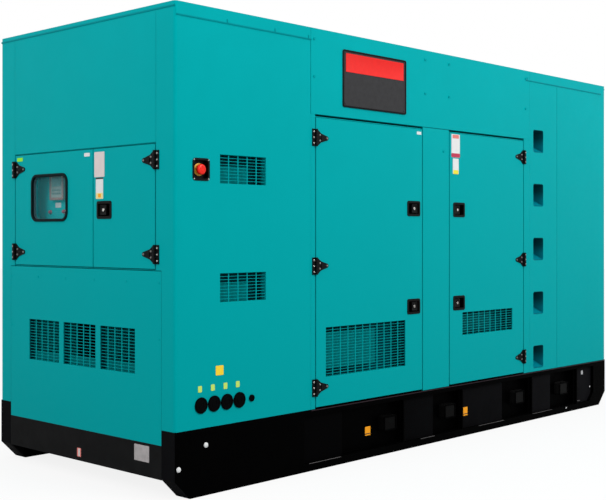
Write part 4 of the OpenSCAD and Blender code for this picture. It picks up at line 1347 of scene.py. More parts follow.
def washer(
    name: str, outer: float, inner: float, near: float, far: float, sides: int = 40
) -> Piece:
    """A flat round ring in a face, centred on the origin.

    Args:
        name: Name of the piece.
        outer: Outer radius.
        inner: Inner radius.
        near: Depth of its outer side.
        far: Depth of its inner side.
        sides: Corners of its outline.

    Returns:
        The ring.
    """
    ring = Shop.drum(name, outer, far - near, (0, (near + far) / 2, 0), Round.Y, sides)
    with EditBench(ring) as bench:
        bench.facing("y").inset(outer - inner)
        bpy.ops.mesh.bridge_edge_loops()
    return ring


def strip(face: Face, across: Pair, rise: Pair, depths: Pair, edge: float, steps: int = 1) -> Piece:
    """A rounded strip on a face.

    Args:
        face: Face that it lies on.
        across: Its ends along the face.
        rise: Its foot and head.
        depths: Depths of its outer and inner side.
        edge: Radius of its edges.
        steps: Steps round each edge.

    Returns:
        The strip at its place.
    """
    block = Shop.slab("strip", (across[1] - across[0]) / 2, (rise[1] - rise[0]) / 2, *depths)
    return Shop.copies(
        "strip", Shop.rounded(block, edge, steps), [face.place(sum(across) / 2, 0, sum(rise) / 2)],
    )


@dataclass
class EmergencyStop(SubAssembly):
    """Mushroom button on its stem, yellow disc and housing screws of the emergency stop."""

    button_r: float = 0.025
    rim_depth: float = -0.0045
    rim_far: float = 0.0046
    dome: Pairs = ((0.0030, 0.94), (0.0021, 0.86), (0.0010, 0.80))
    groove: float = 0.0009
    stem_r: float = 0.0108
    stem_far: float = 0.038
    disc_r: float = 0.0302
    disc_depth: float = 0.0156
    floor_depth: float = 0.018
    collar_r: float = 0.0165
    collar_depth: float = 0.0118
    hole_r: float = 0.0118
    screw_in: float = 0.0447

    def build(self) -> None:
        """Button on its own body; disc, collar and screws on the set."""
        near, far, low, high = span("estop_button", FRONT)
        place = FRONT.place((near + far) / 2, 0, (low + high) / 2)
        length = self.stem_far - self.rim_far + 0.004
        stem = Shop.drum("stem", self.stem_r, length, (0, self.stem_far - length / 2, 0), Round.Y, 28)
        self.fit(
            "estop_mushroom", Shop.joined("button", [self.head(), stem]), [place], "red_button", Paints.RED,
            "emergency_stop", replaces=("estop_button",),
        )
        disc = Shop.rounded(
            washer("disc", self.disc_r, self.hole_r, self.disc_depth, self.floor_depth - 0.0003), 0.0006,
        )
        self.fit("estop_disc", disc, [place], "plate_metal", Paints.DISC)
        collar = washer("collar", self.collar_r, self.hole_r, self.collar_depth, self.disc_depth - 0.0002)
        self.fit("estop_collar", Shop.rounded(collar, 0.0008), [place], "black_plastic", Paints.LATCH)
        corners = [
            place @ move(i * self.screw_in, -0.003, k * self.screw_in) for i in (-1, 1) for k in (-1, 1)
        ]
        self.fit("estop_screws", screw(0.0037, 0.0018), corners, "hinge_iron", Paints.ZINC)

    def head(self) -> Piece:
        """Domed head with a grooved crown and an undercut back.

        Returns:
            The head, at the origin.
        """
        middle = (self.rim_far + self.rim_depth) / 2
        head = Shop.drum("head", self.button_r, self.rim_far - self.rim_depth, (0, middle, 0), Round.Y, 48)
        with EditBench(head) as bench:
            bench.facing("y", 1).inset(0.004).pull(y=-0.003)
            bench.facing("y", -1)
            for step, share in self.dome:
                bench.pull(y=-step).resize(share, 1, share)
            bench.inset(0.004).pull(y=self.groove).inset(0.0022).pull(y=-self.groove)
        return Shop.smooth(head, 50)


@dataclass
class CableCaps(SubAssembly):
    """Raised rings on the blanking caps of the cable entries."""

    first: float = 0.157
    pitch: float = 0.082
    count: int = 4
    ring_share: float = 0.8
    tube: float = 0.0016

    def build(self) -> None:
        """Two rings on each large cap and one on the small cap."""
        _, far, low, high = span("cable_entry_caps", FRONT)
        deep = (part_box("cable_entry_caps")[0] - FRONT.origin).dot(FORWARD)
        z, large = (low + high) / 2, (high - low) / 2
        small = far - self.first - self.count * self.pitch
        spots = [(self.first + k * self.pitch, large) for k in range(self.count)]
        spots.append((self.first + self.count * self.pitch, small))
        rings = []
        for u, radius in spots:
            for share in (self.ring_share, self.ring_share / 2):
                ring = Shop.ring("ring", radius * share, self.tube, (0, 0, 0), Round.Y)
                rings.append(Shop.copies("ring", ring, [FRONT.place(u, deep, z)]))
        self.keep(Shop.smooth(Shop.joined("cable_cap_rings", rings)), "cap_rubber", Paints.CAP)


@dataclass
class WindowTrim(SubAssembly):
    """Rounded bead on the window's rubber frame."""

    corner: float = 0.048
    band: float = 0.013
    near: float = -0.0075
    far: float = -0.0045

    def build(self) -> None:
        """The bead, on the window door."""
        near, far, low, high = span("window_frame", CONTROL_END)
        bead = hoop("bead", far - near, high - low, self.corner, self.band, self.near, self.far, 8)
        bead = Shop.rounded(bead, 0.0026, 3)
        place = CONTROL_END.place((near + far) / 2, 0, (low + high) / 2)
        self.fit("window_bead", bead, [place], "seal_rubber", Paints.BEAD_RUBBER, "window_door")


@dataclass
class ControlFace(SubAssembly):
    """Screen, keys, label and lamps behind the window."""

    screen_w: float = 0.076
    screen_h: float = 0.052
    screen_up: float = 0.026
    key_w: float = 0.013
    key_rows: int = 2
    key_columns: int = 4
    key_pitch: float = 0.021
    key_drop: float = 0.020
    lamp_r: float = 0.009
    lamps: Pairs = ((1.144, 1.346), (1.019, 1.347))
    label: tuple[float, float, float, float] = (1.076, 1.382, 0.052, 0.026)

    def build(self) -> None:
        """Dresses the controller and the cabinet's face."""
        near, far, low, high = span("controller", CONTROL_END)
        depth = (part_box("controller")[0] - CONTROL_END.origin).dot(RIGHT)
        place = CONTROL_END.place((near + far) / 2, depth, (low + high) / 2, -1)
        screen = Shop.block(
            "screen", (-self.screen_w / 2, -0.003, self.screen_up - self.screen_h / 2),
            (self.screen_w / 2, 0.001, self.screen_up + self.screen_h / 2),
        )
        with EditBench(screen) as bench:
            bench.facing("y", -1).inset(0.006).inset(0.001, 0.002)
        self.fit(
            "controller_screen", Shop.rounded(screen, 0.0008, 1), [place], "controller_case", Paints.SCREEN,
        )
        bezel = hoop("bezel", far - near + 0.004, high - low + 0.004, 0.010, 0.014, -0.0022, 0.004)
        self.fit("controller_bezel", Shop.rounded(bezel, 0.0014, 2), [place], "controller_case", Paints.BEZEL)
        half = self.key_w / 2
        key = Shop.rounded(Shop.slab("key", half, half * 0.7, -0.003, 0.001), 0.0012, 2)
        spots = [
            place @ move(
                (k - (self.key_columns - 1) / 2) * self.key_pitch, 0,
                -self.key_drop - row * self.key_pitch * 0.8,
            )
            for row in range(self.key_rows) for k in range(self.key_columns)
        ]
        self.fit("controller_keys", key, spots, "controller_case", Paints.KEY)
        self.lamp_row()

    def lamp_row(self) -> None:
        """Two red lamps and a blank label on the cabinet's face."""
        depth = (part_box("control_cabinet")[0] - CONTROL_END.origin).dot(RIGHT)
        places = [CONTROL_END.place(w, depth, z) for w, z in self.lamps]
        lamp = Shop.drum("lamp", self.lamp_r, 0.010, (0, -0.005, 0), Round.Y, 28)
        with EditBench(lamp) as bench:
            bench.facing("y", -1).pull(y=-0.004).resize(0.8, 1, 0.8).pull(y=-0.002).resize(0.6, 1, 0.6)
        self.fit("cabinet_lamps", Shop.smooth(lamp, 50), places, "red_button", Paints.CRIMSON)
        bezel = washer("bezel", self.lamp_r + 0.004, self.lamp_r, -0.004, 0.0)
        self.fit("cabinet_lamp_bezels", bezel, places, "hinge_iron", Paints.CHROME)
        w, z, width, height = self.label
        label = Shop.rounded(Shop.slab("label", width / 2, height / 2, -0.0015, 0), 0.0005, 1)
        self.fit("cabinet_label", label, [CONTROL_END.place(w, depth, z)], "plate_metal", Paints.WHITE)


@dataclass
class DoorSeals(SubAssembly):
    """Black rubber seals behind the edges of the doors, fixed to the frame."""

    near: float = 0.0405
    far: float = 0.051
    lap: float = 0.006
    band: float = 0.021
    mullion_w: float = 0.034

    def build(self) -> None:
        """A seal round each long-side door and round the pair of end doors, with a strip where they meet."""
        latch, window = (span(name, CONTROL_END) for name in ("latch_door", "window_door"))
        rows = [(leaf.body, leaf.face, span(leaf.body, leaf.face)) for leaf in LEAVES[:4]]
        rows.append(("end_door", CONTROL_END, (latch[0], window[1], latch[2], latch[3])))
        grow = 2 * (DOOR_GAP + self.lap)
        for name, face, (u0, u1, z0, z1) in rows:
            ring = hoop("seal", u1 - u0 + grow, z1 - z0 + grow, 0.014, self.band, self.near, self.far)
            place = face.place((u0 + u1) / 2, 0, (z0 + z1) / 2)
            self.fit(f"{name}_seal", Shop.rounded(ring, 0.0034, 2), [place], "seal_rubber", Paints.RUBBER)
        half = self.mullion_w / 2
        post = Shop.block("post", (-half, self.near, latch[2] - 0.005), (half, self.far, latch[3] + 0.005))
        with EditBench(post) as bench:
            bench.facing("y", -1).inset(0.008).inset(0.002, 0.003)
        place = CONTROL_END.place((latch[1] + window[0]) / 2, 0, 0, -1)
        self.fit("end_door_mullion_seal", Shop.rounded(post, 0.003), [place], "seal_rubber", Paints.RUBBER)


@dataclass
class DoorLinings(SubAssembly):
    """Quilted foam pads inside the long-side doors, above their grilles, with retaining strips."""

    depth: float = 0.0402
    thickness: float = 0.018
    margin: float = 0.045
    foot: float = 0.80
    strip_h: float = 0.030
    strip_t: float = 0.0016
    strips: int = 4

    def build(self) -> None:
        """A pad and its strips on each long-side door."""
        for leaf in LEAVES[:4]:
            u0, u1, _, z1 = span(leaf.body, leaf.face)
            u0, u1, z1 = u0 + self.margin, u1 - self.margin, z1 - self.margin
            half_w, half_h = (u1 - u0) / 2, (z1 - self.foot) / 2
            place = leaf.face.place((u0 + u1) / 2, self.depth, (self.foot + z1) / 2, 1)
            pad = Shop.slab("pad", half_w, half_h, 0, self.thickness)
            with EditBench(pad) as bench:
                bench.facing("y", 1)
                bpy.ops.mesh.subdivide(number_cuts=3)
                bench.facing("y", 1)
                bpy.ops.mesh.inset(thickness=0.008, depth=0, use_individual=True)
                bench.pull(y=0.005).resize(0.995, 1, 0.995)
            pad = Shop.rounded(pad, 0.003, 2, 20)
            self.fit(f"{leaf.body}_lining", pad, [place], "seal_rubber", Paints.FOAM, leaf.body)
            strip = Shop.slab("strip", half_w, self.strip_h / 2, 0, self.strip_t)
            with EditBench(strip) as bench:
                bench.facing("y", 1).inset(0.005).pull(y=0.0012)
            strip = Shop.rounded(strip, 0.0005, 1)
            top, rise = self.thickness + 0.0052, half_h - self.strip_h
            spots = [place @ move(0, top, (2 * k / (self.strips - 1) - 1) * rise) for k in range(self.strips)]
            self.fit(f"{leaf.body}_lining_strips", strip, spots, "hinge_iron", Paints.HINGE, leaf.body)


@dataclass
class SkidDetails(SubAssembly):
    """White plugs and boss rims on the rails."""

    plug_r: float = 0.013
    plugs: tuple[Triple, ...] = ((0.188, 0.237, 0.0), (0.021, 0.146, 0.0))
    dot_r: float = 0.006
    dots: tuple[Triple, ...] = ((3.500, 0.030, 0.0), (3.868, 0.137, 0.022))
    bosses: Numbers = (1.584, 2.158, 2.930, 3.491)
    boss_w: float = 0.112
    boss_h: float = 0.086
    boss_r: float = 0.014
    boss_depth: float = 0.015
    boss_z: float = 0.164
    angle: tuple[float, float, float, float, float] = (3.669, 0.052, 0.270, 0.050, 0.005)
    sills: Pairs = ((0.900, 1.150), (1.850, 1.985), (2.440, 2.722), (3.070, 3.315))
    sill_z: float = 0.040
    lip_out: float = 0.003
    lip_h: float = 0.005
    lip_from: float = 0.915
    lip_drop: float = 0.003

    def build(self) -> None:
        """The same details on both rails."""
        for name, plug, spots in (
            ("rail_plugs", screw(self.plug_r, 0.004, Drive.PLAIN, 24), self.plugs),
            ("rail_dots", screw(self.dot_r, 0.002, Drive.PLAIN, 16), self.dots),
        ):
            places = [face.place(s, depth, z) for face in (FRONT, REAR) for s, z, depth in spots]
            self.fit(name, plug, places, "plate_metal", Paints.WHITE)
        rim = Shop.rounded(
            hoop("rim", self.boss_w, self.boss_h, self.boss_r, 0.009, -0.005, 0.001), 0.0014, 2,
        )
        places = [face.place(s, self.boss_depth, self.boss_z) for face in (FRONT, REAR) for s in self.bosses]
        self.fit("boss_rims", rim, places, "skid_paint", Paints.SKID)
        self.stiffeners()
        self.edges()

    def stiffeners(self) -> None:
        """A thin angle that stands in the last bay of each rail, light grey as a painted highlight."""
        s, low, high, foot, sheet = self.angle
        post = Shop.block("post", (-sheet / 2, -0.012, low), (sheet / 2, 0.0008, high))
        toe = Shop.block("toe", (0, -0.006, low), (foot, 0.0008, low + sheet))
        angle = Shop.joined("angle", [Shop.rounded(post, 0.0008, 1), Shop.rounded(toe, 0.0008, 1)])
        places = [FRONT.place(s, SHALLOW_BAY, 0), REAR.place(s, SHALLOW_BAY, 0, -1)]
        self.fit("rail_angles", angle, places, "skid_paint", Paints.EDGE_HIGHLIGHT)

    def edges(self) -> None:
        """Light grey sills under the shallow bays and the deck's flange, a thin line under the canopy, both
        painted highlights.
        """
        sill = (self.sill_z - 0.0015, self.sill_z + 0.0015)
        sills = [
            strip(face, ends, sill, (-0.0012, 0.001), 0.0006) for face in (FRONT, REAR) for ends in self.sills
        ]
        half_lip = (LENGTH - 0.01 - self.lip_from) / 2
        lip = Shop.block("lip", (-half_lip, -self.lip_out, -self.lip_h), (half_lip, 0.001, 0))
        places = [face.place(self.lip_from + half_lip, 0, DECK - self.lip_drop) for face in (FRONT, REAR)]
        lips = [Shop.copies("lip", Shop.rounded(lip, 0.001, 2), places)]
        self.keep(Shop.joined("bay_sills", sills), "skid_paint", Paints.EDGE_HIGHLIGHT)
        self.keep(Shop.joined("deck_lips", lips), "skid_paint", Paints.LIP_HIGHLIGHT)


@dataclass(frozen=True)
class Grille:
    """A grille's hole: its face, nearest corner, size, and the body that it is part of."""

    name: str
    face: Face
    u: float
    z: float
    width: float
    height: float
    body: str = ROOT


@dataclass
class GrilleHoods(SubAssembly):
    """Folded sheet hoods behind the grilles, open at the top inside the canopy, their dark teal painted
    shade.
    """

    cell_w: float = 0.0615
    end_cell_w: float = 0.055
    cell_h: float = 0.0153
    skirt: float = 0.022
    near: float = 0.0402
    depth: float = 0.052
    sheet: float = 0.0015
    cheek_from: float = 0.0046
    cheek_to: float = 0.0298
    end_grille: Triple = (0.295, 0.314, 0.245)
    end_cells: tuple[int, int] = (5, 14)

    def side_grilles(self) -> list[Grille]:
        """The grilles of both long sides.

        Returns:
            Those of the fixed panels and of the doors.
        """
        rows = (
            ("low", 0.278, 0.585, 5, 9, ""), ("high", 0.278, 1.152, 5, 9, ""),
            ("door_1", 1.029, 0.159, 11, 17, "_door_1"), ("door_2", 2.268, 0.296, 9, 9, "_door_2"),
        )
        return [
            Grille(
                f"{side}_{name}", face, u, DECK + up, columns * self.cell_w, count * self.cell_h,
                side + door if door else ROOT,
            )
            for side, face in SIDES.items() for name, u, up, columns, count, door in rows
        ]

    def end_grilles(self) -> list[Grille]:
        """The grilles of both ends.

        Returns:
            Three for each end.
        """
        first, pitch, up = self.end_grille
        columns, rows = self.end_cells
        size = columns * self.end_cell_w, rows * self.cell_h
        return [
            Grille(f"{name}_end_grille_{k + 1}", face, first + k * pitch, DECK + up, *size)
            for name, face in (("control", CONTROL_END), ("radiator", RADIATOR_END)) for k in range(3)
        ]

    def build(self) -> None:
        """Dark cheeks beside the holes, painted shade on their side walls, and a hood for each grille of the
        long sides.
        """
        for grille in self.end_grilles() + [one for one in self.side_grilles() if one.body != ROOT]:
            half = grille.height / 2 - 0.0003
            cheek = Shop.block(
                "cheek", (0.0002, self.cheek_from, -half), (0.0002 + self.sheet, self.cheek_to, half),
            )
            middle, far = grille.z + grille.height / 2, grille.u + grille.width
            places = [grille.face.place(grille.u, 0, middle), grille.face.place(far, 0, middle, -1)]
            cheek = Shop.rounded(cheek, 0.0005, 1)
            self.fit(grille.name + "_cheeks", cheek, places, "panel_paint", Paints.CHEEK_SHADE, grille.body)
        for grille in self.side_grilles():
            half_w, half_h = grille.width / 2 + self.skirt, grille.height / 2 + self.skirt
            hood = Shop.slab("hood", half_w, half_h, 0, self.depth)
            with EditBench(hood) as bench:
                for axis, sign in (("z", 1), ("y", -1)):
                    bench.facing(axis, sign).inset(0.012)
                    bpy.ops.mesh.delete(type="FACE")
                bench.all_faces()
                bpy.ops.mesh.solidify(thickness=self.sheet)
            place = grille.face.place(grille.u + grille.width / 2, self.near, grille.z + grille.height / 2)
            hood = Shop.rounded(hood, 0.0006, 1)
            self.fit(grille.name + "_hood", hood, [place], "panel_paint", Paints.HOOD_SHADED, grille.body)


@dataclass
class OpeningLips(SubAssembly):
    """Painted lips round the door openings and over the seam of the end doors, a little behind the faces."""

    lip_w: float = 0.0042
    play: float = 0.001
    overlap: float = 0.0004
    near: float = 0.009
    end_near: float = 0.0065
    thickness: float = 0.004
    edge_w: float = 0.0038
    edge_near: float = 0.0007
    edge_far: float = 0.005
    bevel: float = 0.0006

    def build(self) -> None:
        """Lips in each opening, and the folded edges where the end doors meet."""
        for leaf in LEAVES[:4]:
            u0, u1, z0, z1 = span(leaf.body, leaf.face)
            across, rise = (u0 - DOOR_GAP, u1 + DOOR_GAP), (z0, z1 + DOOR_GAP)
            self.lips(f"{leaf.body}_lip", leaf.face, across, rise, self.near, (-1,))
        latch, window = (span(name, CONTROL_END) for name in ("latch_door", "window_door"))
        across, rise = (latch[0] - DOOR_GAP, window[1] + DOOR_GAP), (latch[2] - DOOR_GAP, latch[3] + DOOR_GAP)
        self.lips("end_door_lip", CONTROL_END, across, rise, self.end_near, (1, -1))
        half = (latch[3] - latch[2]) / 2 - self.play
        for body, edge, towards in (("window_door", window[0], -1), ("latch_door", latch[1], 1)):
            strip = Shop.block(
                "strip", (-self.overlap, self.edge_near, -half), (self.edge_w, self.edge_far, half),
            )
            place = CONTROL_END.place(edge, 0, (latch[2] + latch[3]) / 2, towards)
            self.fit(
                f"{body}_edge", Shop.rounded(strip, self.bevel, 1), [place], "panel_paint",
                Paints.PANEL_PLAIN, body,
            )

    def lips(
        self, name: str, face: Face, across: Pair, rise: Pair, near: float, levels: tuple[int, ...],
    ) -> None:
        """Upright lips inside both edges of an opening, and level ones between them.

        Args:
            name: Name of the piece.
            face: Face of the opening.
            across: Edges of the opening along the face.
            rise: Foot and head of the opening.
            near: Depth of the lips' outer side.
            levels: 1 for a lip that stands up from the foot, -1 for one that hangs from the head.
        """
        half, middle = (rise[1] - rise[0]) / 2 - self.play, (rise[0] + rise[1]) / 2
        far = near + self.thickness
        post = Shop.block("lip", (-self.overlap, near, -half), (self.lip_w, far, half))
        places = [face.place(across[0], 0, middle), face.place(across[1], 0, middle, -1)]
        strips = [Shop.copies("lip", Shop.rounded(post, self.bevel, 1), places)]
        span_in = (across[0] + self.lip_w + self.play, across[1] - self.lip_w - self.play)
        for towards in levels:
            edge = rise[0] if towards > 0 else rise[1]
            height = sorted((edge - towards * self.overlap, edge + towards * self.lip_w))
            strips.append(strip(face, span_in, height, (near, far), self.bevel))
        self.keep(Shop.joined(name, strips), "panel_paint", Paints.PANEL_PLAIN)


@dataclass
class SeamSealant(SubAssembly):
    """Painted sealant, flush in the seams between the door frame and the panels beside it."""

    sunk: float = 0.0001
    depth: float = 0.006
    play: float = 0.0001
    edge: float = 0.0002
    lip: float = 0.072

    def build(self) -> None:
        """Two upright and two level fillets on each long side."""
        for side, face in SIDES.items():
            head0, head1, head_z, _ = span("headers", face)
            _, _, deck, post_z = span("door_posts", face)
            near, far = span("side_panels", face)[1], span("step_panels", face)[0]
            first = span(f"{side}_door_1", face)[0] - DOOR_GAP
            last = span(f"{side}_door_2", face)[1] + DOOR_GAP
            seams = (
                (near, head0, deck, post_z), (head1, far, deck, ROOF - self.lip),
                (head0, first, post_z, head_z), (last, head1, post_z, head_z),
            )
            play, depths = self.play, (self.sunk, self.depth)
            fillets = [
                strip(face, (u0 + play, u1 - play), (z0 + play, z1 - play), depths, self.edge)
                for u0, u1, z0, z1 in seams
            ]
            self.keep(Shop.joined(f"{side}_seam_sealant", fillets), "panel_paint", Paints.PANEL_PLAIN)


@dataclass
class RoofEdge(SubAssembly):
    """Drip beads along the lower edge of the roof's lip, their darker teal painted shade, with a tick of
    sealant at each joint.
    """

    drop: float = 0.062
    end_drop: float = 0.022
    bead_h: float = 0.009
    end_bead_h: float = 0.010
    proud: float = 0.0024
    tick: Pair = (0.006, 0.020)
    runs: Pairs = ((0.008, 0.915), (2.985, 3.990))
    ticks: Numbers = (0.325, 0.650, 0.895, 3.000)

    def build(self) -> None:
        """Two beads on each long side and one on each end."""
        width, height = self.tick
        for side, face in SIDES.items():
            beads = [self.bead(face, run, self.drop, self.bead_h) for run in self.runs]
            for u in self.ticks:
                tick = Shop.block("tick", (-width / 2, -self.proud, 0), (width / 2, 0.001, height))
                beads.append(
                    Shop.copies("tick", Shop.rounded(tick, 0.0008, 1), [face.place(u, 0, ROOF - self.drop)])
                )
            self.keep(Shop.joined(f"{side}_drip_beads", beads), "panel_paint", Paints.SEAM)
        for name, face in (("control", CONTROL_END), ("radiator", RADIATOR_END)):
            bead = self.bead(face, (0.004, WIDTH - 0.004), self.end_drop, self.end_bead_h)
            self.keep(Shop.joined(f"{name}_end_drip_bead", [bead]), "panel_paint", Paints.SEAM)

    def bead(self, face: Face, run: Pair, drop: float, height: float) -> Piece:
        """A half-round bead under the roof's lip.

        Args:
            face: Face that it runs along.
            run: Its ends along the face.
            drop: Distance of its middle below the roof.
            height: Height of the bead.

        Returns:
            The bead at its place.
        """
        bead = Shop.slab("bead", (run[1] - run[0]) / 2, height / 2, -self.proud, 0.001)
        with EditBench(bead) as bench:
            bench.edges(
                lambda e: all(v.co.y < 0 for v in e.verts) and abs(e.verts[0].co.x - e.verts[1].co.x) > 0.1
            )
            bench.bevel(self.proud * 0.8, 3)
        return Shop.copies("bead", Shop.rounded(bead, 0.0004, 1), [face.place(sum(run) / 2, 0, ROOF - drop)])


# ---- Machinery ----


def turned(
    name: str, radius: float, length: float, centre: Sequence[float], edge: float, steps: int = 2,
    axis: Round = Round.X, sides: int = 32,
) -> Piece:
    """A round part of a casting, with its edges rounded by a radius in so many steps."""
    return Shop.rounded(Shop.drum(name, radius, length, centre, axis, sides), edge, steps)


SHAFT_Z = DECK + 0.560
ENGINE_LOW, ENGINE_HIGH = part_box("engine")
RADIATOR_LOW, RADIATOR_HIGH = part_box("radiator")
SILENCER_LOW, SILENCER_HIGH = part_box("silencer")
CORE_X = RADIATOR_LOW.x + 0.09
FAN_Z = (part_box("fan")[0].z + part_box("fan")[1].z) / 2
UPWARD = Matrix.Rotation(math.radians(-90), 4, "X")
BACKWARD = Matrix.Rotation(math.radians(-90), 4, "Z")


@dataclass
class RockerCovers(SubAssembly):
    """Six rocker covers with their bolts and an oil filler."""

    count: int = 6
    first: float = 0.262
    pitch: float = 0.158
    length: float = 0.138
    width: float = 0.212
    height: float = 0.036
    bolt_r: float = 0.008
    filler_r: float = 0.032

    def build(self) -> None:
        """Covers, bolts and filler on the engine's head."""
        half_l, half_w = self.length / 2, self.width / 2
        cover = Shop.block("cover", (-half_l, -half_w, -0.002), (half_l, half_w, self.height))
        with EditBench(cover) as bench:
            bench.facing("z", 1).resize(0.86, 0.9, 1).inset(0.012).pull(z=0.008).resize(0.9, 0.94, 1)
        spots = [
            move(ENGINE_LOW.x + self.first + k * self.pitch, 0, ENGINE_HIGH.z) for k in range(self.count)
        ]
        self.fit("rocker_covers", Shop.rounded(cover, 0.006, 3), spots, "engine_iron", Paints.COVER)
        bolt = screw(self.bolt_r, 0.008)
        tops = [
            spot @ move(i * half_l * 0.62, k * half_w * 0.72, self.height + 0.006) @ UPWARD
            for spot in spots for i in (-1, 1) for k in (-1, 1)
        ]
        self.fit("rocker_cover_bolts", bolt, tops, "engine_iron", Paints.STEEL)
        filler = screw(self.filler_r, 0.045, Drive.PLAIN, 24)
        place = spots[2] @ move(0, 0, self.height + 0.006) @ UPWARD
        self.fit("oil_filler_cap", filler, [place], "engine_iron", Paints.YELLOW)


@dataclass
class Manifolds(SubAssembly):
    """Exhaust manifold with its turbocharger and pipe in front, and the inlet manifold behind."""

    side_y: float = 0.335
    height: float = 1.108
    log_r: float = 0.05
    log_s: Pair = (0.22, 1.06)
    runner_r: float = 0.033
    runner_up: float = 0.045
    runners: Numbers = (0.262, 0.420, 0.578, 0.736, 0.894, 1.052)
    flange_r: float = 0.066
    turbo_s: float = 0.66
    turbo_z: float = 1.285
    turbo_y: float = -0.37
    pipe_y: float = -0.27
    pipe_r: float = 0.046
    bellows: int = 5

    def build(self) -> None:
        """Both manifolds, each a round log with flanged ends and six runners, and the turbocharger."""
        middle, length = ENGINE_LOW.x + sum(self.log_s) / 2, self.log_s[1] - self.log_s[0]
        for side, name, paint in ((-1, "exhaust", Paints.RUST), (1, "inlet", Paints.ENGINE)):
            y = side * self.side_y
            pieces = [turned("log", self.log_r, length, (middle, y, self.height), 0.008, 3)]
            for end in (-1, 1):
                centre = (middle + end * (length / 2 - 0.008), y, self.height)
                pieces.append(turned("flange", self.flange_r, 0.016, centre, 0.002))
            for s in self.runners:
                x, z = ENGINE_LOW.x + s, self.height + self.runner_up
                pieces.append(Shop.drum("runner", self.runner_r, 0.12, (x, y - side * 0.06, z), Round.Y, 20))
                centre = (x, y - side * 0.12, z)
                pieces.append(
                    turned("boss", self.runner_r + 0.012, 0.014, centre, 0.002, axis=Round.Y, sides=6)
                )
            self.keep(Shop.joined(f"{name}_manifold", pieces), "engine_iron", paint)
        self.turbo()
        self.pipe()

    def turbo(self) -> None:
        """Turbine and compressor housings with the bearing housing between them."""
        x, y, z = ENGINE_LOW.x + self.turbo_s, self.turbo_y, self.turbo_z
        hot = [
            Shop.ring("volute", 0.062, 0.034, (x - 0.06, y, z), Round.X),
            turned("turbine", 0.062, 0.07, (x - 0.06, y, z), 0.01, 3),
            turned("foot", 0.036, 0.15, (x - 0.06, y + 0.03, z - 0.1), 0.004, axis=Round.Z, sides=20),
        ]
        self.keep(Shop.smooth(Shop.joined("turbine_housing", hot), 50), "engine_iron", Paints.RUST)
        cold = [
            Shop.ring("volute", 0.060, 0.030, (x + 0.075, y, z), Round.X),
            turned("nose", 0.05, 0.10, (x + 0.11, y, z), 0.006),
            turned("middle", 0.034, 0.1, (x, y, z), 0.004, sides=24),
        ]
        self.keep(Shop.smooth(Shop.joined("compressor_housing", cold), 50), "engine_iron", Paints.ZINC)

    def pipe(self) -> None:
        """The lagged exhaust pipe, from the turbine to the silencer, and its bellows."""
        end, up = SILENCER_LOW.x, SILENCER_LOW.z + (SILENCER_HIGH.x - SILENCER_LOW.x) / 2
        x, z = ENGINE_LOW.x + self.turbo_s - 0.13, self.turbo_z
        points = [
            (x, self.turbo_y, z), (x - 0.05, self.turbo_y, z + 0.16), (x + 0.15, -0.35, z + 0.5),
            (x + 0.5, -0.31, z + 0.62),
            (end - 0.25, self.pipe_y, up), (end + 0.03, self.pipe_y, up),
        ]
        self.keep(Shop.hose("exhaust_pipe", points, self.pipe_r), "silencer_steel", Paints.LAGGING)
        folds = [
            Shop.ring("fold", 0.052, 0.006, (end - k * 0.024, self.pipe_y, up), Round.X)
            for k in range(self.bellows)
        ]
        self.keep(Shop.smooth(Shop.joined("exhaust_bellows", folds)), "silencer_steel", Paints.CLADDING)


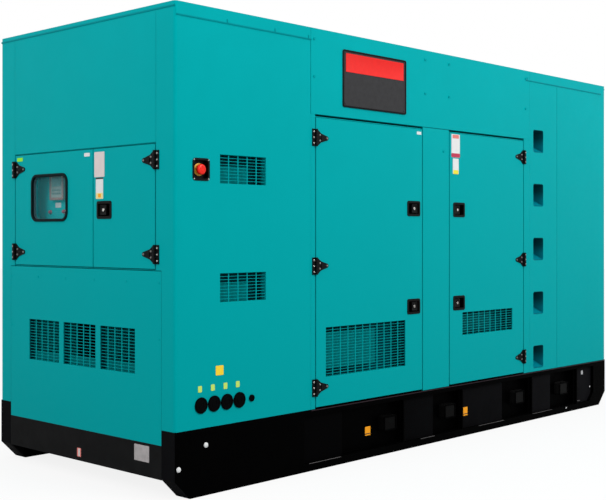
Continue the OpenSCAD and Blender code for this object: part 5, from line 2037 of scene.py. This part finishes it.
@dataclass
class EngineAuxiliaries(SubAssembly):
    """Filters, starter, belt, air cleaner and coolant hoses."""

    filter_r: float = 0.049
    filter_l: float = 0.2
    filters: Numbers = (0.56, 0.68, 0.82)
    filter_y: float = 0.268
    filter_z: float = 0.72
    filter_head: Pair = (0.056, 0.045)
    starter_at: Triple = (0.27, -0.31, 0.70)
    cleaner_r: float = 0.115
    cleaner_l: float = 0.42
    cleaner: Triple = (0.52, 0.40, 1.56)
    hose_r: float = 0.036
    duct_r: float = 0.042

    def build(self) -> None:
        """Each auxiliary in turn."""
        self.spin_on_filters()
        self.starter()
        self.air_cleaner()
        self.belt()
        self.hoses()

    def spin_on_filters(self) -> None:
        """A row of filters on each side of the block, hanging from their heads."""
        bowl = Shop.drum("bowl", self.filter_r, self.filter_l, (0, 0, -self.filter_l / 2), Round.Z, 32)
        with EditBench(bowl) as bench:
            bench.facing("z", -1).pull(z=-0.012).resize(0.86, 0.86, 1).pull(z=-0.006).resize(0.7, 0.7, 1)
            bench.facing("z", 1).inset(0.004).pull(z=0.006)
        top = self.filter_z + 0.15
        spots = [move(ENGINE_LOW.x + s, side * self.filter_y, top) for s in self.filters for side in (-1, 1)]
        self.fit("spin_on_filters", Shop.rounded(bowl, 0.003, 2), spots, "engine_iron", Paints.WHITE)
        half, height = self.filter_head
        head = Shop.rounded(Shop.block("head", (-half, -half, 0), (half, half, height)), 0.012, 3)
        self.fit("filter_heads", head, spots, "engine_iron", Paints.ENGINE)

    def starter(self) -> None:
        """The starter motor and its solenoid beside the flywheel housing."""
        s, y, z = self.starter_at
        x = ENGINE_LOW.x
        bracket = Shop.block("bracket", (x + 0.14, y - 0.01, z - 0.05), (x + 0.17, y + 0.12, z + 0.06))
        body = [
            turned("motor", 0.062, 0.24, (x + s, y, z), 0.008, 3),
            turned("nose", 0.048, 0.08, (x + 0.12, y, z), 0.006),
            turned("solenoid", 0.03, 0.14, (x + 0.22, y - 0.01, z + 0.088), 0.004, sides=24),
            Shop.rounded(bracket, 0.006, 2),
        ]
        self.keep(Shop.joined("starter_motor", body), "engine_iron", Paints.HINGE)

    def air_cleaner(self) -> None:
        """The air cleaner on its legs with its bands, and the duct to the compressor."""
        x, y, z = self.cleaner
        x += ENGINE_LOW.x
        shell = Shop.drum("shell", self.cleaner_r, self.cleaner_l, (x, y, z), Round.X, 48)
        with EditBench(shell) as bench:
            bench.facing("x").inset(0.03).pull().resize(1, 0.95, 0.95)
        parts, bands = [Shop.rounded(shell, 0.01, 3)], []
        for k in (-1, 1):
            middle = x + k * 0.13
            leg = Shop.block("leg", (middle - 0.02, y - 0.16, z - 0.36), (middle + 0.02, y - 0.15, z - 0.02))
            parts.append(Shop.rounded(leg, 0.002))
            bands.append(Shop.ring("band", self.cleaner_r, 0.004, (x + k * 0.14, y, z), Round.X))
        self.keep(Shop.joined("air_cleaner", parts), "engine_iron", Paints.HINGE)
        self.keep(Shop.joined("air_cleaner_bands", bands), "engine_iron", Paints.ZINC)
        points = [
            (x + 0.18, y, z), (x + 0.34, y, z), (x + 0.42, 0.16, z), (x + 0.40, -0.24, z - 0.1),
            (x + 0.30, -0.37, z - 0.275),
        ]
        self.keep(Shop.hose("air_duct", points, self.duct_r), "seal_rubber", Paints.RUBBER)

    def belt(self) -> None:
        """The fan belt round the crankshaft pulley and the fan hub."""
        ring = Shop.rounded(
            hoop("belt", 0.19, FAN_Z - SHAFT_Z + 0.175, 0.088, 0.01, -0.014, 0.014, 10), 0.002,
        )
        place = move(ENGINE_HIGH.x - 0.03, 0, (FAN_Z + SHAFT_Z) / 2 - 0.0075) @ BACKWARD
        self.fit("fan_belt", ring, [place], "seal_rubber", Paints.RUBBER)

    def hoses(self) -> None:
        """Upper and lower coolant hoses, from the engine's front to the core."""
        x, z, top = ENGINE_HIGH.x, ENGINE_HIGH.z, RADIATOR_HIGH.z - 0.06
        for name, points in (
            ("upper", [
                (x - 0.18, -0.06, z - 0.02), (x - 0.14, -0.08, z + 0.10),
                (x, -0.12, top), (CORE_X + 0.01, -0.12, top),
            ]),
            ("lower", [
                (x - 0.16, -0.20, 0.86), (x - 0.12, -0.32, 0.80), (x - 0.02, -0.47, 0.52),
                (CORE_X + 0.01, -0.50, 0.44),
            ]),
        ):
            self.keep(Shop.hose(f"{name}_coolant_hose", points, self.hose_r), "seal_rubber", Paints.RUBBER)


@dataclass
class RadiatorDetail(SubAssembly):
    """Tanks, fins, side channels, filler cap and fan guard."""

    tank_h: Pair = (0.12, 0.14)
    fins: int = 60
    fin_h: float = 0.0035
    guard_rings: Numbers = (0.13, 0.19, 0.25, 0.31, 0.37, 0.425)
    spokes: int = 10
    wire_r: float = 0.003

    def build(self) -> None:
        """Dresses the radiator."""
        low, high = RADIATOR_LOW, RADIATOR_HIGH
        foot_h, head_h = self.tank_h
        near, far = (CORE_X - 0.006, low.y - 0.004), (high.x + 0.006, high.y + 0.004)
        tanks = [
            Shop.rounded(Shop.block("tank", (*near, foot), (*far, top)), 0.012, 3)
            for foot, top in ((high.z - head_h, high.z + 0.004), (low.z, low.z + foot_h))
        ]
        self.keep(Shop.joined("radiator_tanks", tanks), "radiator_metal", Paints.HINGE)
        depth, half = high.x - CORE_X, self.fin_h / 2
        fin = Shop.block("fin", (-0.004, low.y + 0.03, -half), (depth + 0.004, high.y - 0.03, half))
        step = (high.z - low.z - 0.30) / self.fins
        rows = [move(CORE_X, 0, low.z + 0.14 + k * step) for k in range(self.fins)]
        self.fit("radiator_fins", fin, rows, "radiator_metal", Paints.STEEL)
        channels = []
        for side in (-1, 1):
            y = side * (high.y - low.y) / 2
            bar = Shop.block(
                "bar", (CORE_X - 0.012, y - 0.02, low.z), (high.x + 0.012, y + 0.012 * side + 0.012, high.z),
            )
            channels.append(Shop.rounded(bar, 0.003))
        self.keep(Shop.joined("radiator_channels", channels), "radiator_metal", Paints.RADIATOR)
        cap = screw(0.034, 0.04, Drive.PLAIN, 24)
        spot = move((CORE_X + high.x) / 2, -0.3, high.z) @ UPWARD
        self.fit("radiator_filler_cap", cap, [spot], "radiator_metal", Paints.ZINC)
        self.guard()

    def guard(self) -> None:
        """The wire guard in front of the fan."""
        x = RADIATOR_LOW.x - 0.006
        wires = [
            Shop.ring("wire", radius, self.wire_r, (x, 0, FAN_Z), Round.X) for radius in self.guard_rings
        ]
        inner, outer = self.guard_rings[0], self.guard_rings[-1] + 0.02
        for k in range(self.spokes):
            wire = Shop.drum("spoke", self.wire_r, outer - inner, (0, 0, (outer + inner) / 2), Round.Z, 8)
            turn = move(x - 0.004, 0, FAN_Z) @ Matrix.Rotation(2 * math.pi * k / self.spokes, 4, "X")
            wires.append(Shop.copies("spoke", wire, [turn]))
        self.keep(Shop.smooth(Shop.joined("fan_guard", wires)), "radiator_metal", Paints.ZINC)


@dataclass
class AlternatorDetail(SubAssembly):
    """Frame ribs, end bands, vent slots, terminal box lid and lifting eyes."""

    radius: float = 0.33
    ribs: int = 28
    rib_l: float = 0.62
    rib_h: float = 0.014
    rib_t: float = 0.009
    bare: float = 0.11
    frame_s: Pair = (0.06, 0.88)
    slots: int = 30
    box_half_w: float = 0.18
    box_s: Pair = (0.26, 0.64)
    eyes: Pair = (0.14, 0.8)

    def build(self) -> None:
        """Ribs all round but under the terminal box, bands at both ends and a ring of vents."""
        start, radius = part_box("alternator")[0].x, self.radius
        half_l, half_t = self.rib_l / 2, self.rib_t / 2
        rib = Shop.rounded(
            Shop.block("rib", (-half_l, -half_t, radius - 0.004), (half_l, half_t, radius + self.rib_h)),
            0.002, 1,
        )
        slot = Shop.rounded(Shop.block("slot", (-0.018, -0.007, 0.262), (0.018, 0.007, 0.267)), 0.001, 1)
        turns = self.turns(start + sum(self.frame_s) / 2, self.ribs, self.bare)
        self.fit("alternator_ribs", rib, turns, "alternator_paint", Paints.ALTERNATOR)
        bands = [
            turned("band", radius + 0.012, 0.05, (start + s, 0, SHAFT_Z), 0.004, sides=64)
            for s in (self.frame_s[0] + 0.03, self.frame_s[1] - 0.03)
        ]
        self.keep(Shop.joined("alternator_bands", bands), "alternator_paint", Paints.ALTERNATOR)
        self.fit(
            "alternator_vents", slot, self.turns(start + 0.03, self.slots), "alternator_paint",
            Paints.RADIATOR,
        )
        self.terminal_box()

    @staticmethod
    def turns(x: float, count: int, bare: float = -1.0) -> list[Matrix]:
        """Places round the shaft at a station, without those within a share of a turn of the top."""
        shares = [k / count for k in range(count) if abs((k / count + 0.5) % 1 - 0.5) > bare]
        return [move(x, 0, SHAFT_Z) @ Matrix.Rotation(2 * math.pi * share, 4, "X") for share in shares]

    def terminal_box(self) -> None:
        """Lid, screws and lifting eyes over the frame."""
        low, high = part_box("alternator")
        x0, x1, half = low.x + self.box_s[0], low.x + self.box_s[1], self.box_half_w
        lid = Shop.block(
            "lid", (x0 - 0.008, -half - 0.008, high.z - 0.02), (x1 + 0.008, half + 0.008, high.z + 0.006),
        )
        self.keep(
            Shop.joined("terminal_box_lid", [Shop.rounded(lid, 0.004, 2)]), "alternator_paint",
            Paints.ALTERNATOR,
        )
        spots = [
            move(x, y, high.z + 0.006) @ UPWARD
            for x in (x0 + 0.02, (x0 + x1) / 2, x1 - 0.02) for y in (-half + 0.02, half - 0.02)
        ]
        self.fit("terminal_box_screws", screw(0.009, 0.005), spots, "alternator_paint", Paints.ZINC)
        up = SHAFT_Z + self.radius + 0.03
        eyes = [Shop.ring("eye", 0.028, 0.009, (low.x + s, 0, up), Round.Y) for s in self.eyes]
        self.keep(Shop.smooth(Shop.joined("lifting_eyes", eyes)), "alternator_paint", Paints.STEEL)


@dataclass
class SilencerDetail(SubAssembly):
    """Domed ends and seam bands of the silencer."""

    bands: Numbers = (-0.44, -0.32, 0.32, 0.44)
    dome: Pairs = ((0.012, 0.93), (0.010, 0.86), (0.006, 0.7))

    def build(self) -> None:
        """Dresses the silencer."""
        low, high = SILENCER_LOW, SILENCER_HIGH
        radius = (high.x - low.x) / 2
        x, z = (low.x + high.x) / 2, low.z + radius
        rings = [Shop.ring("band", radius + 0.002, 0.006, (x, y, z), Round.Y) for y in self.bands]
        self.keep(Shop.smooth(Shop.joined("silencer_bands", rings)), "silencer_steel", Paints.STEEL)
        cap = Shop.drum("cap", radius * 0.99, 0.012, (0, -0.006, 0), Round.Y, 48)
        with EditBench(cap) as bench:
            bench.facing("y", -1)
            for step, share in self.dome:
                bench.pull(y=-step).resize(share, 1, share)
        ends = [
            move(x, low.y, z), move(x, high.y, z) @ Matrix.Rotation(math.pi, 4, "Z"),
        ]
        self.fit("silencer_ends", Shop.smooth(cap, 50), ends, "silencer_steel", Paints.CLADDING)


# ---- Studio ----


@dataclass
class Studio:
    """Floor, world, lamps and the camera."""

    camera_place: Triple = (-5.258, -4.596, 1.228)
    camera_heading: float = math.radians(-46.64)
    lens: float = 65.0
    shift_x: float = 0.0018
    shift_y: float = -0.0262
    floor_size: float = 60.0
    world_strength: float = 0.72
    floor_glow: float = 0.86
    floor_tone: float = 0.35

    def build(self) -> None:
        """Makes the stage."""
        self.camera()
        self.world()
        self.floor()
        self.lamp("key", (1.5, -8.5, 6.5), 5.0, 518)
        self.lamp("fill", (-8.5, -1.0, 5.5), 4.0, 232)
        bpy.context.scene.view_settings.view_transform = "Standard"

    def camera(self) -> None:
        """The camera, level, looking at the corner between the control end and the front side."""
        data = bpy.data.cameras.new("camera")
        data.lens, data.sensor_width, data.shift_x, data.shift_y = self.lens, 36, self.shift_x, self.shift_y
        camera = bpy.data.objects.new("camera", data)
        camera.location = self.camera_place
        camera.rotation_euler = (math.pi / 2, 0, self.camera_heading)
        bpy.context.collection.objects.link(camera)
        bpy.context.scene.camera = camera

    def world(self) -> None:
        """An even pale world, white to the camera and through glass."""
        world = bpy.data.worlds.new("studio")
        world.use_nodes = True
        nodes, links = world.node_tree.nodes, world.node_tree.links
        path, seen, strength = (
            nodes.new(kind) for kind in ("ShaderNodeLightPath", "ShaderNodeMath", "ShaderNodeMapRange")
        )
        seen.operation = "MAXIMUM"
        strength.inputs["To Min"].default_value = self.world_strength
        back = nodes["Background"]
        back.inputs["Color"].default_value = (1, 1, 1, 1)
        for source, target in (
            (path.outputs["Is Camera Ray"], seen.inputs[0]),
            (path.outputs["Is Transmission Ray"], seen.inputs[1]),
            (seen.outputs[0], strength.inputs["Value"]),
            (strength.outputs["Result"], back.inputs["Strength"]),
        ):
            links.new(source, target)
        bpy.context.scene.world = world

    def floor(self) -> None:
        """A plain floor, nearly white to the camera, that keeps a soft shadow."""
        floor = Shop.add(
            bpy.ops.mesh.primitive_plane_add, "studio_floor", size=self.floor_size, location=(0, 0, 0),
        )
        graph = Graph("studio_floor_white")
        seen = graph.node("ShaderNodeLightPath").outputs["Is Camera Ray"]
        graph.surface(
            base_color=graph.mix(seen, (self.floor_tone,) * 3, (0.9,) * 3), roughness=0.9,
            specular_ior_level=0.0,
        )
        glow = graph.node("ShaderNodeEmission")
        blend = graph.node("ShaderNodeMixShader")
        graph.link(graph.math("MULTIPLY", seen, self.floor_glow), blend.inputs[0])
        graph.link(graph.shader.outputs[0], blend.inputs[1])
        graph.link(glow.outputs[0], blend.inputs[2])
        graph.link(blend.outputs[0], graph.tree.nodes["Material Output"].inputs["Surface"])
        floor.data.materials.append(graph.material)

    def lamp(self, name: str, place: Triple, size: float, power: float) -> None:
        """A large soft lamp aimed at the middle of the set.

        Args:
            name: Name of the lamp.
            place: Where it stands.
            size: Edge of its square face.
            power: Watts.
        """
        data = bpy.data.lights.new(name, "AREA")
        data.size, data.energy = size, power
        lamp = bpy.data.objects.new(name, data)
        lamp.location = place
        aim = Vector((0, 0, ROOF / 2)) - Vector(place)
        lamp.rotation_euler = aim.to_track_quat("-Z", "Y").to_euler()
        bpy.context.collection.objects.link(lamp)


def main() -> None:
    """Builds the stage and every sub-assembly, in order."""
    logging.basicConfig(level=logging.INFO, format="%(message)s")
    Studio().build()
    groups = (
        FrameDressing(), HingeTrim(), LatchPaddles(), Fixings(), BlankTags(), NamePlates(), EmergencyStop(),
        CableCaps(),
        WindowTrim(), ControlFace(), DoorSeals(), DoorLinings(), SkidDetails(), GrilleHoods(), OpeningLips(),
        SeamSealant(),
        RoofEdge(),
        RockerCovers(), Manifolds(), EngineAuxiliaries(), RadiatorDetail(), AlternatorDetail(),
        SilencerDetail(),
    )
    for group in groups:
        group.build()
        LOG.info("%s done", type(group).__name__)


if __name__ == "__main__":
    main()
